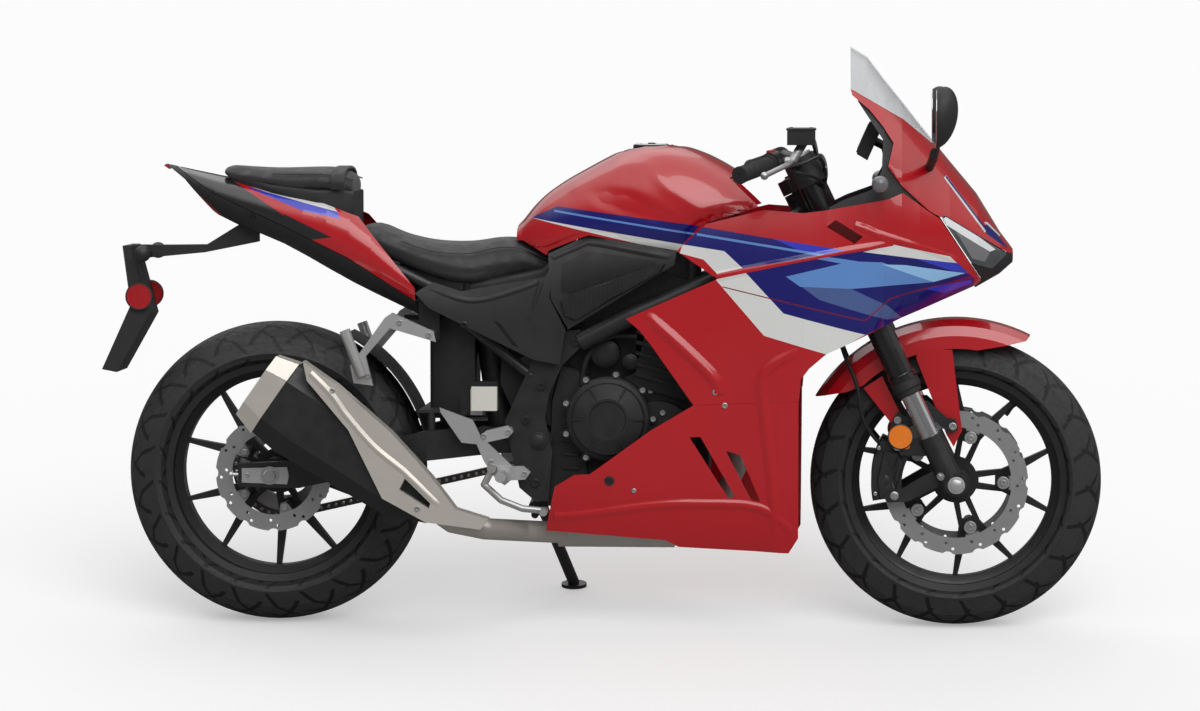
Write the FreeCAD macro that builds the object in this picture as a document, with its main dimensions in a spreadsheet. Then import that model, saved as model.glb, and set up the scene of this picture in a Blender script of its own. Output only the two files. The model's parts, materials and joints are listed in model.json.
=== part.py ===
import FreeCAD, Part

# Sport bike, parked on its side stand. Millimetres, +X forward, +Y to the rider's left, +Z up.
# Every piece is drawn on the upright bike, with x = 0 below the rear axle and z = 0 on the road,
# and the whole bike is then leaned to the left until its stand meets the ground.

import math
import os

import Sketcher
from FreeCAD import Placement, Rotation, Vector

SIZES = [
    ("lean", 9, "angle that the side stand leans the bike to the left"),
    ("rake", 25.5, "angle of the steering axis from the vertical"),
    ("stem_x", 1116.5, "middle of the steering head"),
    ("stem_z", 830, "middle of the steering head above the road"),
    ("stem_long", 150, "length of the steering head"),
    ("fork_offset", 31, "legs ahead of the steering axis"),
    ("axle_offset", 6, "front axle ahead of the legs"),
    ("fork_spread", 100, "leg from the middle plane"),
    ("pivot_x", 555, "swingarm pivot"),
    ("pivot_z", 388, "swingarm pivot above the road"),
    ("arm_reach", 555, "rear axle behind the swingarm pivot"),
    ("panel_gap", 0.5, "gap between bodywork and what it seats on"),
    ("bore_gap", 0.05, "running clearance of a bearing on its shaft, on the radius"),
    ("front_rad", 300, "front tyre, outer radius"),
    ("front_crown", 60, "front tyre, radius of the tread's crown"),
    ("front_half", 60, "front tyre, half width"),
    ("rear_rad", 312, "rear tyre, outer radius"),
    ("rear_crown", 82, "rear tyre, radius of the tread's crown"),
    ("rear_half", 80, "rear tyre, half width"),
    ("bead_rad", 219, "seat of the tyre's bead on the rim"),
    ("tyre_wall", 9, "thickness of the tyre"),
    ("front_rim_half", 47, "front rim, half width over the flanges"),
    ("rear_rim_half", 62, "rear rim, half width over the flanges"),
    ("rim_wall", 5, "thickness of the rim's barrel"),
    ("flange_high", 9, "rim flange above the bead seat"),
    ("well_deep", 16, "drop centre below the bead seat"),
    ("spoke_thick", 24, "spoke, across the wheel"),
    ("spoke_tip", 4.5, "spoke arm, half width at the rim"),
    ("split_angle", 18, "half angle between the two arms of a spoke at the rim"),
    ("axle_rad", 10, "wheel axles"),
    ("hub_rad", 30, "wheel hubs"),
    ("front_hub_half", 58, "front hub, half length"),
    ("rear_hub_half", 72, "rear hub, half length"),
    ("disc_thick", 4.5, "brake disc"),
    ("front_disc_rad", 148, "front brake disc"),
    ("rear_disc_rad", 120, "rear brake disc"),
    ("disc_band", 34, "width of a disc's braking band"),
    ("front_bolt_rad", 95, "circle of a front disc's bolts"),
    ("rear_bolt_rad", 74, "circle of the rear disc's and the sprocket's bolts"),
    ("bolt_boss_rad", 10, "boss of a disc's bolt"),
    ("front_disc_y", 62, "inner face of a front disc from the middle plane"),
    ("rear_disc_y", 78, "inner face of the rear disc from the middle plane"),
    ("upper_rad", 27, "fork, outer tube"),
    ("slider_rad", 20.5, "fork, chrome inner tube"),
    ("foot_rad", 29, "fork, foot casting"),
    ("leg_top", 138, "top of the legs above the steering head's middle"),
    ("leg_step", 386, "lower end of the outer tubes below the steering head's middle"),
    ("leg_foot", 492, "top of the foot castings below the steering head's middle"),
    ("stem_rad", 15, "steering stem"),
    ("head_rad", 32, "steering head tube"),
    ("clamp_thick", 30, "triple clamps"),
    ("spar_rad", 20, "frame's main tubes"),
    ("rail_rad", 13, "rear frame's rails"),
    ("plate_y", 108, "inner face of a pivot plate from the middle plane"),
    ("plate_thick", 14, "pivot plates"),
    ("arm_wide", 26, "swingarm's arms"),
    ("arm_high", 50, "swingarm's arms at the pivot"),
    ("arm_rear_y", 106, "inner face of an arm at the rear axle"),
    ("arm_front_y", 76, "inner face of an arm at the pivot"),
    ("bobbin_ahead", 30, "threaded holes for a workshop stand, ahead of the rear axle"),
    ("bobbin_rad", 4, "threaded holes for a workshop stand"),
    ("bobbin_deep", 18, "threaded holes for a workshop stand"),
    ("pivot_rad", 10, "swingarm's pivot bolt"),
    ("chain_y", 93, "middle of the chain from the middle plane"),
    ("chain_pitch", 15.875, "pitch of the chain"),
    ("chain_half", 7.5, "chain, half height of its plates"),
    ("chain_wide", 17, "chain, over its pins"),
    ("rear_teeth", 41, "teeth of the rear sprocket"),
    ("front_teeth", 15, "teeth of the front sprocket"),
    ("drive_x", 640, "front sprocket"),
    ("drive_z", 392, "front sprocket above the road"),
    ("case_half", 82, "crankcase, half width behind the covers"),
    ("crank_half", 126, "crankcase, half width at the crank"),
    ("clutch_x", 699, "clutch cover"),
    ("clutch_z", 434, "clutch cover above the road"),
    ("dynamo_x", 800, "crankshaft, with the alternator cover"),
    ("dynamo_z", 392, "crankshaft above the road"),
    ("clutch_rad", 86, "clutch cover"),
    ("clutch_deep", 38, "clutch cover, from the case to its face"),
    ("wall", 4, "thickness of the body panels"),
    ("tank_top_z", 995, "top of the fuel tank"),
    ("cap_x", 780, "fuel cap"),
    ("cap_rad", 38, "fuel cap"),
    ("fender_gap", 38, "outer face of the front fender above the tyre"),
    ("fender_thick", 4, "front fender"),
    ("hose_rad", 4, "brake hoses"),
    ("seat_gap", 0.3, "clearance of a piece that rests on another"),
    ("muffler_y", 218, "axis of the muffler from the middle plane"),
    ("pipe_rad", 19, "header pipes"),
    ("peg_rad", 11, "foot pegs"),
    ("grip_rad", 16, "hand grips"),
    ("bar_rad", 11, "handlebar tubes"),
    ("mirror_y", 330, "middle of a mirror from the middle plane"),
    ("bar_end_y", 372, "outer end of a hand grip from the middle plane"),
    ("stand_x", 538, "side stand's pivot"),
    ("stand_y", 128, "side stand's pivot from the middle plane"),
    ("stand_z", 236, "side stand's pivot above the road"),
    ("foot_x", 600, "side stand's foot on the ground"),
    ("foot_y", 262, "side stand's foot from the middle plane"),
    ("stand_rad", 12, "side stand's leg"),
    ("stand_fold", 108, "angle that the side stand folds back by"),
    ("foot_pad_rad", 27, "side stand's foot pad"),
    ("foot_pad_thick", 7, "side stand's foot pad"),
]


class Size:
    """A size with its number now and its text as an expression of the sheet's cells."""

    def __init__(self, number, text):
        self.number = float(number)
        self.text = text

    def __float__(self):
        return self.number

    def join(self, other, sign, number, flipped=False):
        other_text = other.text if isinstance(other, Size) else repr(other)
        first, second = (other_text, self.text) if flipped else (self.text, other_text)
        return Size(number, "(%s %s %s)" % (first, sign, second))

    def __add__(self, other):
        return self.join(other, "+", self.number + float(other))

    def __radd__(self, other):
        return self.join(other, "+", float(other) + self.number, True)

    def __sub__(self, other):
        return self.join(other, "-", self.number - float(other))

    def __rsub__(self, other):
        return self.join(other, "-", float(other) - self.number, True)

    def __mul__(self, other):
        return self.join(other, "*", self.number * float(other))

    def __rmul__(self, other):
        return self.join(other, "*", float(other) * self.number, True)

    def __truediv__(self, other):
        return self.join(other, "/", self.number / float(other))

    def __rtruediv__(self, other):
        return self.join(other, "/", float(other) / self.number, True)

    def __neg__(self):
        return Size(-self.number, "(0 - %s)" % self.text)


class Sheet:
    """The document's spreadsheet of driving sizes, each read by its name."""

    def __init__(self, rows):
        self.rows = {}
        self.page = doc.addObject("Spreadsheet::Sheet", "Sizes")
        for line, (alias, number, meaning) in enumerate(rows, start=1):
            self.page.set("A%d" % line, meaning)
            self.page.set("B%d" % line, str(number))
            self.page.setAlias("B%d" % line, alias)
            self.rows[alias] = number
        doc.recompute()

    def __getattr__(self, alias):
        return Size(self.rows[alias], "Sizes.%s" % alias)


doc = FreeCAD.newDocument("SportBike")
s = Sheet(SIZES)
NODES = []

ACROSS = Vector(0, 1, 0)
UP = Vector(0, 0, 1)
MIDDLE = Vector(0, 0, 0)


# Derived places on the upright bike

def lifted(radius, crown):
    """Axle height at which a leaned tyre still touches the road."""
    lean = math.radians(float(s.lean))
    return float(radius) + float(crown) * (1 / math.cos(lean) - 1)


def point(x, y, z):
    return Vector(float(x), float(y), float(z))


RAKE = math.radians(float(s.rake))
STEM = point(s.stem_x, 0, s.stem_z)
STEM_DOWN = Vector(math.sin(RAKE), 0, -math.cos(RAKE))
STEM_AHEAD = Vector(math.cos(RAKE), 0, math.sin(RAKE))
LEG = STEM + STEM_AHEAD * float(s.fork_offset)
AXLE_AHEAD = float(s.fork_offset + s.axle_offset)
FRONT_Z = lifted(s.front_rad, s.front_crown)
REAR_Z = lifted(s.rear_rad, s.rear_crown)
LEG_LONG = (STEM.z + AXLE_AHEAD * STEM_AHEAD.z - FRONT_Z) / math.cos(RAKE)
FRONT_AXLE = STEM + STEM_AHEAD * AXLE_AHEAD + STEM_DOWN * LEG_LONG
PIVOT = point(s.pivot_x, 0, s.pivot_z)
REAR_AXLE = point(s.pivot_x - s.arm_reach, 0, REAR_Z)


def on_leg(down, side=0):
    """A point of a fork leg's axis, so far below the steering head's middle."""
    return LEG + STEM_DOWN * float(down) + ACROSS * float(side)


def ground(y):
    """Height of the road below the leaned bike, on the upright bike's drawing."""
    return float(y) * math.tan(math.radians(float(s.lean)))


# Helpers for document objects

def bind(thing, **rules):
    """Tie properties to sizes of the sheet."""
    for name, size in rules.items():
        if isinstance(size, Size):
            thing.setExpression(name, size.text)
        else:
            setattr(thing, name, size)
    return thing


def rod(name, base, tip, radius):
    """A round bar between two points."""
    bar = bind(doc.addObject("Part::Cylinder", name), Radius=radius)
    bar.Height = (tip - base).Length
    bar.Placement = Placement(base, Rotation(UP, tip - base))
    return bar


def taper(name, base, tip, base_radius, tip_radius):
    """A round bar that narrows from one point to another."""
    bar = bind(doc.addObject("Part::Cone", name), Radius1=base_radius, Radius2=tip_radius)
    bar.Height = (tip - base).Length
    bar.Placement = Placement(base, Rotation(UP, tip - base))
    return bar


def ball(name, centre, radius):
    piece = bind(doc.addObject("Part::Sphere", name), Radius=radius)
    piece.Placement = Placement(centre, Rotation())
    return piece


def block(name, low, high):
    """A box between two opposite corners."""
    piece = doc.addObject("Part::Box", name)
    piece.Length, piece.Width, piece.Height = high - low
    piece.Placement = Placement(low, Rotation())
    return piece


def fuse(name, *pieces):
    whole = doc.addObject("Part::MultiFuse", name)
    whole.Shapes = list(pieces)
    return whole


def cut(name, base, *tools):
    whole = doc.addObject("Part::Cut", name)
    whole.Base = base
    whole.Tool = tools[0] if len(tools) == 1 else fuse(name + "_tools", *tools)
    return whole


def common(name, *pieces):
    whole = doc.addObject("Part::MultiCommon", name)
    whole.Shapes = list(pieces)
    return whole


def both(name, piece):
    """A piece of the left side with its mirror image on the right."""
    image = doc.addObject("Part::Mirroring", name + "_right")
    image.Source = piece
    image.Normal = ACROSS
    pair = doc.addObject("Part::Compound", name)
    pair.Links = [piece, image]
    return pair


def group(name, *pieces):
    """Like pieces of one body that don't touch, kept as one sub-part."""
    pair = doc.addObject("Part::Compound", name)
    pair.Links = list(pieces)
    return pair


def plain(name, shape):
    """A piece whose shape is worked out here from the sheet's sizes."""
    piece = doc.addObject("Part::Feature", name)
    piece.Shape = shape
    return piece


def path(name, places, radius):
    """A bent tube: round runs with a ball in each bend."""
    pieces = []
    for index, (base, tip) in enumerate(zip(places, places[1:])):
        pieces.append(rod("%s_run%d" % (name, index), base, tip, radius))
        if index:
            pieces.append(ball("%s_bend%d" % (name, index), base, radius))
    return fuse(name, *pieces) if len(pieces) > 1 else pieces[0]


def keep(thing, label):
    """Name a finished sub-part; its file has this name."""
    thing.Label = label
    NODES.append(thing)
    return thing


# Helpers for sketches

def plane_of(body, role):
    return [item for item in body.Origin.OriginFeatures if item.Role == role][0]


def body_of(name, centre=MIDDLE):
    body = doc.addObject("PartDesign::Body", name)
    body.Placement = Placement(centre, Rotation())
    return body


def sketch_on(body, name, role):
    sketch = body.newObject("Sketcher::SketchObject", name)
    sketch.AttachmentSupport = (plane_of(body, role), [""])
    sketch.MapMode = "FlatFace"
    return sketch


def tie(sketch, kind, places, size):
    """A sketch dimension that follows a size."""
    index = sketch.addConstraint(Sketcher.Constraint(kind, *places, float(size)))
    if isinstance(size, Size):
        sketch.setExpression("Constraints[%d]" % index, size.text)


def outline(sketch, corners):
    """A closed outline of straight edges, each corner tied to its two sizes."""
    spots = [point(u, v, 0) for u, v in corners]
    count = len(spots)
    first = sketch.GeometryCount
    for index in range(count):
        sketch.addGeometry(Part.LineSegment(spots[index], spots[(index + 1) % count]), False)
    for index in range(count):
        following = first + (index + 1) % count
        sketch.addConstraint(Sketcher.Constraint("Coincident", first + index, 2, following, 1))
    for index, (u, v) in enumerate(corners):
        tie(sketch, "DistanceX", (-1, 1, first + index, 1), u)
        tie(sketch, "DistanceY", (-1, 1, first + index, 1), v)


def circle(sketch, u, v, radius):
    """A circle whose centre and radius follow sizes."""
    index = sketch.GeometryCount
    sketch.addGeometry(Part.Circle(point(u, v, 0), UP, float(radius)), False)
    tie(sketch, "DistanceX", (-1, 1, index, 3), u)
    tie(sketch, "DistanceY", (-1, 1, index, 3), v)
    tie(sketch, "Radius", (index,), radius)


def revolve(body, name, corners, role="XY_Plane", axis="Y_Axis"):
    """A solid of revolution about one axis of the body."""
    sketch = sketch_on(body, name + "_profile", role)
    outline(sketch, corners)
    turned = body.newObject("PartDesign::Revolution", name)
    turned.Profile = sketch
    turned.ReferenceAxis = (plane_of(body, axis), [""])
    turned.Angle = 360
    sketch.Visibility = False
    return turned


def pad(body, name, draw, thickness, role="XZ_Plane", start=None):
    """A plate of the outline that draw puts in its sketch, half to each side of its plane."""
    sketch = sketch_on(body, name + "_profile", role)
    if start is not None:
        sketch.AttachmentOffset = Placement(Vector(0, 0, float(start)), Rotation())
        if isinstance(start, Size):
            sketch.setExpression("AttachmentOffset.Base.z", start.text)
    draw(sketch)
    plate = body.newObject("PartDesign::Pad", name)
    plate.Profile = sketch
    bind(plate, Length=thickness)
    plate.Midplane = True
    return plate


def pocket(body, name, draw, depth, role="XZ_Plane"):
    """A cut of depth, half to each side of its plane."""
    sketch = sketch_on(body, name + "_profile", role)
    draw(sketch)
    hollow = body.newObject("PartDesign::Pocket", name)
    hollow.Profile = sketch
    bind(hollow, Length=depth)
    hollow.Midplane = True
    return hollow


def ring_of(body, name, feature, count, axis="Y_Axis"):
    """Copies of a feature round one axis of the body."""
    pattern = body.newObject("PartDesign::PolarPattern", name)
    pattern.Originals = [feature]
    pattern.Axis = (plane_of(body, axis), [""])
    pattern.Angle = 360
    if isinstance(count, Size):
        pattern.setExpression("Occurrences", count.text)
    else:
        pattern.Occurrences = count
    body.Tip = pattern
    return pattern


# Helpers for shaped panels

def slab(corners, low_y, high_y):
    """A straight prism over an outline of the side view."""
    spots = [Vector(x, low_y, z) for x, z in corners]
    wire = Part.makePolygon(spots + [spots[0]])
    return Part.Face(wire).extrude(Vector(0, high_y - low_y, 0))


def inset(half, wall):
    """A half section moved inwards by a wall's thickness."""
    moved = []
    last = len(half) - 1
    for index, (y, z) in enumerate(half):
        before = half[max(index - 1, 0)]
        after = half[min(index + 1, last)]
        along_y = after[0] - before[0]
        along_z = after[1] - before[1]
        span = math.hypot(along_y, along_z)
        inner_y = y - wall * along_z / span
        inner_z = z + wall * along_y / span
        if index in (0, last):
            inner_y = 0
            inner_z = z + (wall if index == 0 else -wall)
        moved.append((max(inner_y, 0), inner_z))
    return moved


def section(x, half):
    """A closed smooth section at x from its left half, bottom middle to top middle."""
    right = [(-y, z) for y, z in reversed(half[1:-1])]
    curve = Part.BSplineCurve()
    curve.interpolate([Vector(x, y, z) for y, z in half + right], PeriodicFlag=True)
    return Part.Wire([curve.toShape()])


def blend_value(values, places, share):
    """A smooth value between the middle two of four, without overshoot of the places' spacing."""
    before, start, end, after = values
    span = places[2] - places[1]
    rise_start = (end - before) / (places[2] - places[0]) * span
    rise_end = (after - start) / (places[3] - places[1]) * span
    cube = share ** 3
    square = share ** 2
    value = (2 * cube - 3 * square + 1) * start + (cube - 2 * square + share) * rise_start
    return value + (3 * square - 2 * cube) * end + (cube - square) * rise_end


def filled(stations, step=45):
    """The stations with smoothly blended ones between them, about a step apart."""
    result = []
    last = len(stations) - 1
    for index in range(last):
        near = [stations[min(max(index + move, 0), last)] for move in (-1, 0, 1, 2)]
        places = [station[0] for station in near]
        span = places[2] - places[1]
        count = max(1, round(span / step))
        for piece in range(count):
            share = piece / count
            half = []
            for spots in zip(*[station[1] for station in near]):
                ys = [spot[0] for spot in spots]
                zs = [spot[1] for spot in spots]
                half.append((blend_value(ys, places, share), blend_value(zs, places, share)))
            result.append((places[1] + span * share, half))
    result.append(stations[-1])
    return result


def loft(stations, wall=0):
    """A closely ruled solid through half sections, set in by a wall's thickness."""
    wires = [section(x, inset(half, wall) if wall else half) for x, half in filled(stations)]
    return Part.makeLoft(wires, True, True)


def shell_of(stations, wall):
    """The skin of a lofted form, open where its end sections are."""
    return loft(stations).cut(loft(stations, wall))


def panel(name, skin, corners, holes=(), low_y=0.0, high_y=400.0):
    """The left part of a skin inside one outline of the side view, less its holes."""
    shape = skin.common(slab(corners, low_y, high_y))
    for hole in holes:
        shape = shape.cut(slab(hole, low_y, high_y))
    return plain(name, shape)


# Wheels

def tyre(name, label, radius, crown, half, rim_half, axle):
    """A hollow tyre: a crowned tread on two sidewalls that close on the rim's bead seats."""
    body = body_of(name, axle)
    shoulder = radius - crown
    wall = s.tyre_wall
    drop = float(half) / float(crown)
    slope = math.sqrt(max(1 - drop * drop, 0))
    steps = 5
    outer = []
    inner = []
    for index in range(-steps, steps + 1):
        share = index / steps
        reach = math.sqrt(1 - (drop * share) ** 2)
        outer.append((shoulder + crown * reach, half * share))
        if abs(index) < steps:
            inner.append((shoulder - wall + crown * reach, half * share * 0.9))
    lip = s.bead_rad + s.flange_high + s.panel_gap
    bulge = lip + (shoulder + crown * slope - lip) * 0.4
    foot = [(bulge, half * 0.94), (lip, rim_half - 1), (lip, rim_half - 4), (s.bead_rad, rim_half - 9.5)]
    foot = foot + [(s.bead_rad, rim_half - 18), (lip + 4, rim_half - 12)]
    mirrored = [(u, -v) for u, v in reversed(foot)]
    corners = outer + foot + list(reversed(inner)) + mirrored
    revolve(body, name + "_casing", corners)
    keep(body, label)


def rim(name, label, rim_half, hub_half, axle, disc_y, bolt_rad):
    """A cast wheel: barrel with a drop centre, hub, and five forked spokes with the disc's bosses."""
    body = body_of(name, axle)
    seat = s.bead_rad
    inner = seat - s.rim_wall
    tip = seat + s.flange_high
    well = seat - s.well_deep
    barrel = [
        (tip, rim_half), (tip, rim_half - 3), (seat, rim_half - 9), (seat, rim_half * 0.5),
        (well, rim_half * 0.3), (well, -rim_half * 0.3), (seat, -rim_half * 0.5),
        (seat, 9 - rim_half), (tip, 3 - rim_half), (tip, -rim_half), (inner, 3 - rim_half),
        (inner, -rim_half * 0.5), (well - s.rim_wall, -rim_half * 0.3),
        (well - s.rim_wall, rim_half * 0.3), (inner, rim_half * 0.5), (inner, rim_half - 3),
    ]
    revolve(body, name + "_barrel", barrel)
    bore = s.axle_rad + s.bore_gap
    drum = s.hub_rad + 16
    deep = s.spoke_thick * 0.7
    hub = [
        (bore, hub_half), (s.hub_rad, hub_half), (s.hub_rad, deep), (drum, deep),
        (drum, -deep), (s.hub_rad, -deep), (s.hub_rad, -hub_half), (bore, -hub_half),
    ]
    revolve(body, name + "_hub", hub)
    reach = well - 2
    lean_cos = math.cos(math.radians(float(s.split_angle)))
    lean_sin = math.sin(math.radians(float(s.split_angle)))
    end = s.spoke_tip
    side = s.bolt_boss_rad + 13
    corners = [
        (s.hub_rad - 3, -side * 0.7), (bolt_rad, -side),
        (reach * lean_cos - end * lean_sin, -reach * lean_sin - end * lean_cos),
        (reach * lean_cos + end * lean_sin, -reach * lean_sin + end * lean_cos),
        (bolt_rad + s.bolt_boss_rad + 2, 4 - s.bolt_boss_rad), (bolt_rad + s.bolt_boss_rad + 2, s.bolt_boss_rad - 4),
        (reach * lean_cos + end * lean_sin, reach * lean_sin - end * lean_cos),
        (reach * lean_cos - end * lean_sin, reach * lean_sin + end * lean_cos),
        (bolt_rad, side), (s.hub_rad - 3, side * 0.7),
    ]
    spoke = pad(body, name + "_spoke", lambda sketch: outline(sketch, corners), s.spoke_thick)
    ring_of(body, name + "_spokes", spoke, 5)
    edge = bolt_rad - s.bolt_boss_rad - 3
    window = [(drum + 2, -6), (edge, 5 - side * 0.7), (edge, side * 0.7 - 5), (drum + 2, 6)]
    gap = pocket(body, name + "_window", lambda sketch: outline(sketch, window), s.spoke_thick * 2)
    ring_of(body, name + "_windows", gap, 5)
    boss = pad(body, name + "_boss", lambda sketch: circle(sketch, bolt_rad, 0, s.bolt_boss_rad), disc_y * 2)
    ring_of(body, name + "_bosses", boss, 5)
    keep(body, label)


def disc(name, radius, side_y, axle, bolt_rad, waves):
    """A petal disc: braking band with a wavy edge, drilled, on five tabs."""
    body = body_of(name, axle + ACROSS * float(side_y))
    inside = radius - s.disc_band
    band = pad(
        body, name + "_band",
        lambda sketch: (circle(sketch, 0, 0, radius), circle(sketch, 0, 0, inside)),
        s.disc_thick,
    )
    wide = s.bolt_boss_rad
    tab_corners = [(bolt_rad - wide, -5), (bolt_rad - 2, -wide), (inside + 4, -wide * 1.6)]
    tab_corners += [(u, -v) for u, v in reversed(tab_corners)]
    tab = pad(body, name + "_tab", lambda sketch: outline(sketch, tab_corners), s.disc_thick)
    ring_of(body, name + "_tabs", tab, 5)
    scallop = pocket(body, name + "_wave", lambda sketch: circle(sketch, radius + 9, 0, 14), s.disc_thick * 2)
    ring_of(body, name + "_waves", scallop, waves)
    hole = pocket(
        body, name + "_hole",
        lambda sketch: (circle(sketch, radius - 11, 9, 3.2), circle(sketch, radius - 22, -6, 3.2)),
        s.disc_thick * 2,
    )
    ring_of(body, name + "_holes", hole, waves)
    return body


def wheels():
    tyre("FrontTyre", "front_tyre", s.front_rad, s.front_crown, s.front_half, s.front_rim_half, FRONT_AXLE)
    rim("FrontRim", "front_rim", s.front_rim_half, s.front_hub_half, FRONT_AXLE, s.front_disc_y, s.front_bolt_rad)
    offset = s.front_disc_y + s.disc_thick / 2
    left = disc("LeftDisc", s.front_disc_rad, offset, FRONT_AXLE, s.front_bolt_rad, 15)
    right = disc("RightDisc", s.front_disc_rad, -offset, FRONT_AXLE, s.front_bolt_rad, 15)
    keep(group("FrontDiscs", left, right), "front_discs")
    tyre("RearTyre", "rear_tyre", s.rear_rad, s.rear_crown, s.rear_half, s.rear_rim_half, REAR_AXLE)
    rim("RearRim", "rear_rim", s.rear_rim_half, s.rear_hub_half, REAR_AXLE, s.rear_disc_y, s.rear_bolt_rad)
    rear = disc("RearDisc", s.rear_disc_rad, -(s.rear_disc_y + s.disc_thick / 2), REAR_AXLE, s.rear_bolt_rad, 12)
    keep(rear, "rear_disc")
    sprocket()


def pitch_radius(teeth):
    return s.chain_pitch.number / (2 * math.sin(math.pi / float(teeth)))


def sprocket():
    """The rear sprocket on its carrier."""
    body = body_of("RearSprocket", REAR_AXLE)
    tip = pitch_radius(s.rear_teeth) - float(s.chain_half) - 0.8
    near = s.chain_y - 2.8
    far = s.chain_y + 2.8
    carrier = s.rear_disc_y
    profile = [
        (s.rear_bolt_rad - 12, carrier), (s.rear_bolt_rad + 10, carrier), (s.rear_bolt_rad + 10, near),
        (tip, near), (tip, far), (s.rear_bolt_rad - 12, far),
    ]
    revolve(body, "Sprocket_ring", profile)
    keep(body, "rear_sprocket")


# Steering

FENDER_LUG = [
    (1275, 421), (1290, 448), (1306, 437), (1325, 470), (1352, 470), (1390, 436), (1408, 433), (1414, 412),
    (1398, 402), (1368, 428), (1345, 420), (1305, 420), (1290, 411),
]
CALIPER_ARM = [(1425, 318), (1383, 300), (1310, 264), (1270, 262), (1262, 272), (1270, 288), (1298, 290), (1380, 338)]
CALIPER_ARM_TOP = [(1385, 360), (1340, 358), (1296, 360), (1288, 378), (1298, 392), (1340, 394), (1372, 386)]
CALIPER_OUT = 23


def steering():
    reach = s.fork_spread
    upper = rod("Upper", on_leg(-s.leg_top, reach), on_leg(s.leg_step, reach), s.upper_rad)
    keep(both("ForkUppers", upper), "fork_uppers")
    slider = rod("Slider", on_leg(s.leg_step, reach), on_leg(s.leg_foot, reach), s.slider_rad)
    keep(both("ForkSliders", slider), "fork_sliders")
    axle_low = FRONT_AXLE + ACROSS * (float(reach) - float(s.foot_rad) + 6)
    axle_high = FRONT_AXLE + ACROSS * (float(reach) + float(s.foot_rad) - 6)
    bolt_face = float(s.front_half) + float(s.fender_thick) + 13.3
    lug = slab(FENDER_LUG, bolt_face, bolt_face + 7)
    caliper_face = float(s.front_disc_y + s.disc_thick) + CALIPER_OUT + 0.3
    arm_low = slab(CALIPER_ARM, caliper_face, caliper_face + 12)
    arm_high = slab(CALIPER_ARM_TOP, caliper_face, caliper_face + 12)
    foot = fuse(
        "Foot",
        taper("FootNeck", on_leg(s.leg_foot, reach), on_leg(LEG_LONG - 30, reach), s.slider_rad + 4, s.foot_rad - 4),
        rod("FootBody", on_leg(LEG_LONG - 34, reach), on_leg(LEG_LONG + 8, reach), s.foot_rad - 4),
        rod("FootBoss", axle_low, axle_high, s.axle_rad + 14),
        plain("FootLug", lug.fuse([arm_low, arm_high])),
    )
    axle_bore = rod("FootBore", axle_low - ACROSS * 20, axle_high + ACROSS * 20, s.axle_rad)
    leg_room = rod("FootLegRoom", on_leg(s.leg_step, reach), on_leg(s.leg_foot, reach), s.slider_rad)
    bored = cut("FootBored", foot, axle_bore, leg_room)
    keep(both("ForkFeet", bored), "fork_feet")
    lens = rod("Reflector", point(1296, caliper_face + 12.3, 398), point(1296, caliper_face + 19, 398), 25)
    bracket = rod("ReflectorPost", point(1308, caliper_face + 12.3, 380), point(1308, caliper_face + 14, 380), 8)
    keep(both("Reflectors", fuse("ReflectorSet", lens, bracket)), "front_reflectors")
    clamps()
    bars()
    calipers()
    fender()
    brake_hoses()
    axle_half = ACROSS * (float(reach) + float(s.foot_rad) + 4)
    keep(rod("FrontAxle", FRONT_AXLE - axle_half, FRONT_AXLE + axle_half, s.axle_rad), "front_axle")


def clamps():
    """Stem and the two clamps that hold the legs."""
    stem_half = STEM_DOWN * (float(s.stem_long) / 2)
    stem = rod("Stem", STEM - stem_half * 1.5, STEM + stem_half * 1.5, s.stem_rad)
    pieces = [stem]
    gap = STEM_DOWN * (float(s.stem_long) / 2 + 2)
    thick = STEM_DOWN * float(s.clamp_thick)
    for name, start in (("TopClamp", STEM - gap - thick), ("LowClamp", STEM + gap)):
        middle = rod(name + "_middle", start, start + thick, s.stem_rad + 18)
        arms = [middle]
        for side in (1, -1):
            over = ACROSS * (side * float(s.fork_spread)) + STEM_AHEAD * float(s.fork_offset)
            arms.append(rod(name + "_eye", start + over, start + over + thick, s.upper_rad + 9))
        bridge = doc.addObject("Part::Box", name + "_bridge")
        bridge.Length = float(s.fork_offset) + 20
        bridge.Width = 2 * float(s.fork_spread)
        bridge.Height = float(s.clamp_thick)
        turn = Rotation(ACROSS, float(s.rake) * -1 + 180)
        corner = start + STEM_AHEAD * (float(s.fork_offset) + 10) - ACROSS * float(s.fork_spread)
        bridge.Placement = Placement(corner, turn)
        arms.append(bridge)
        solid = fuse(name, *arms)
        pieces.append(solid)
    whole = fuse("ClampBlank", *pieces)
    holes = []
    for side in (1, -1):
        above = on_leg(-s.leg_top - 40, side * s.fork_spread)
        holes.append(rod("LegBore", above, on_leg(s.leg_step, side * s.fork_spread), s.upper_rad))
    keep(cut("Clamps", whole, *holes), "triple_clamps")


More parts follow.
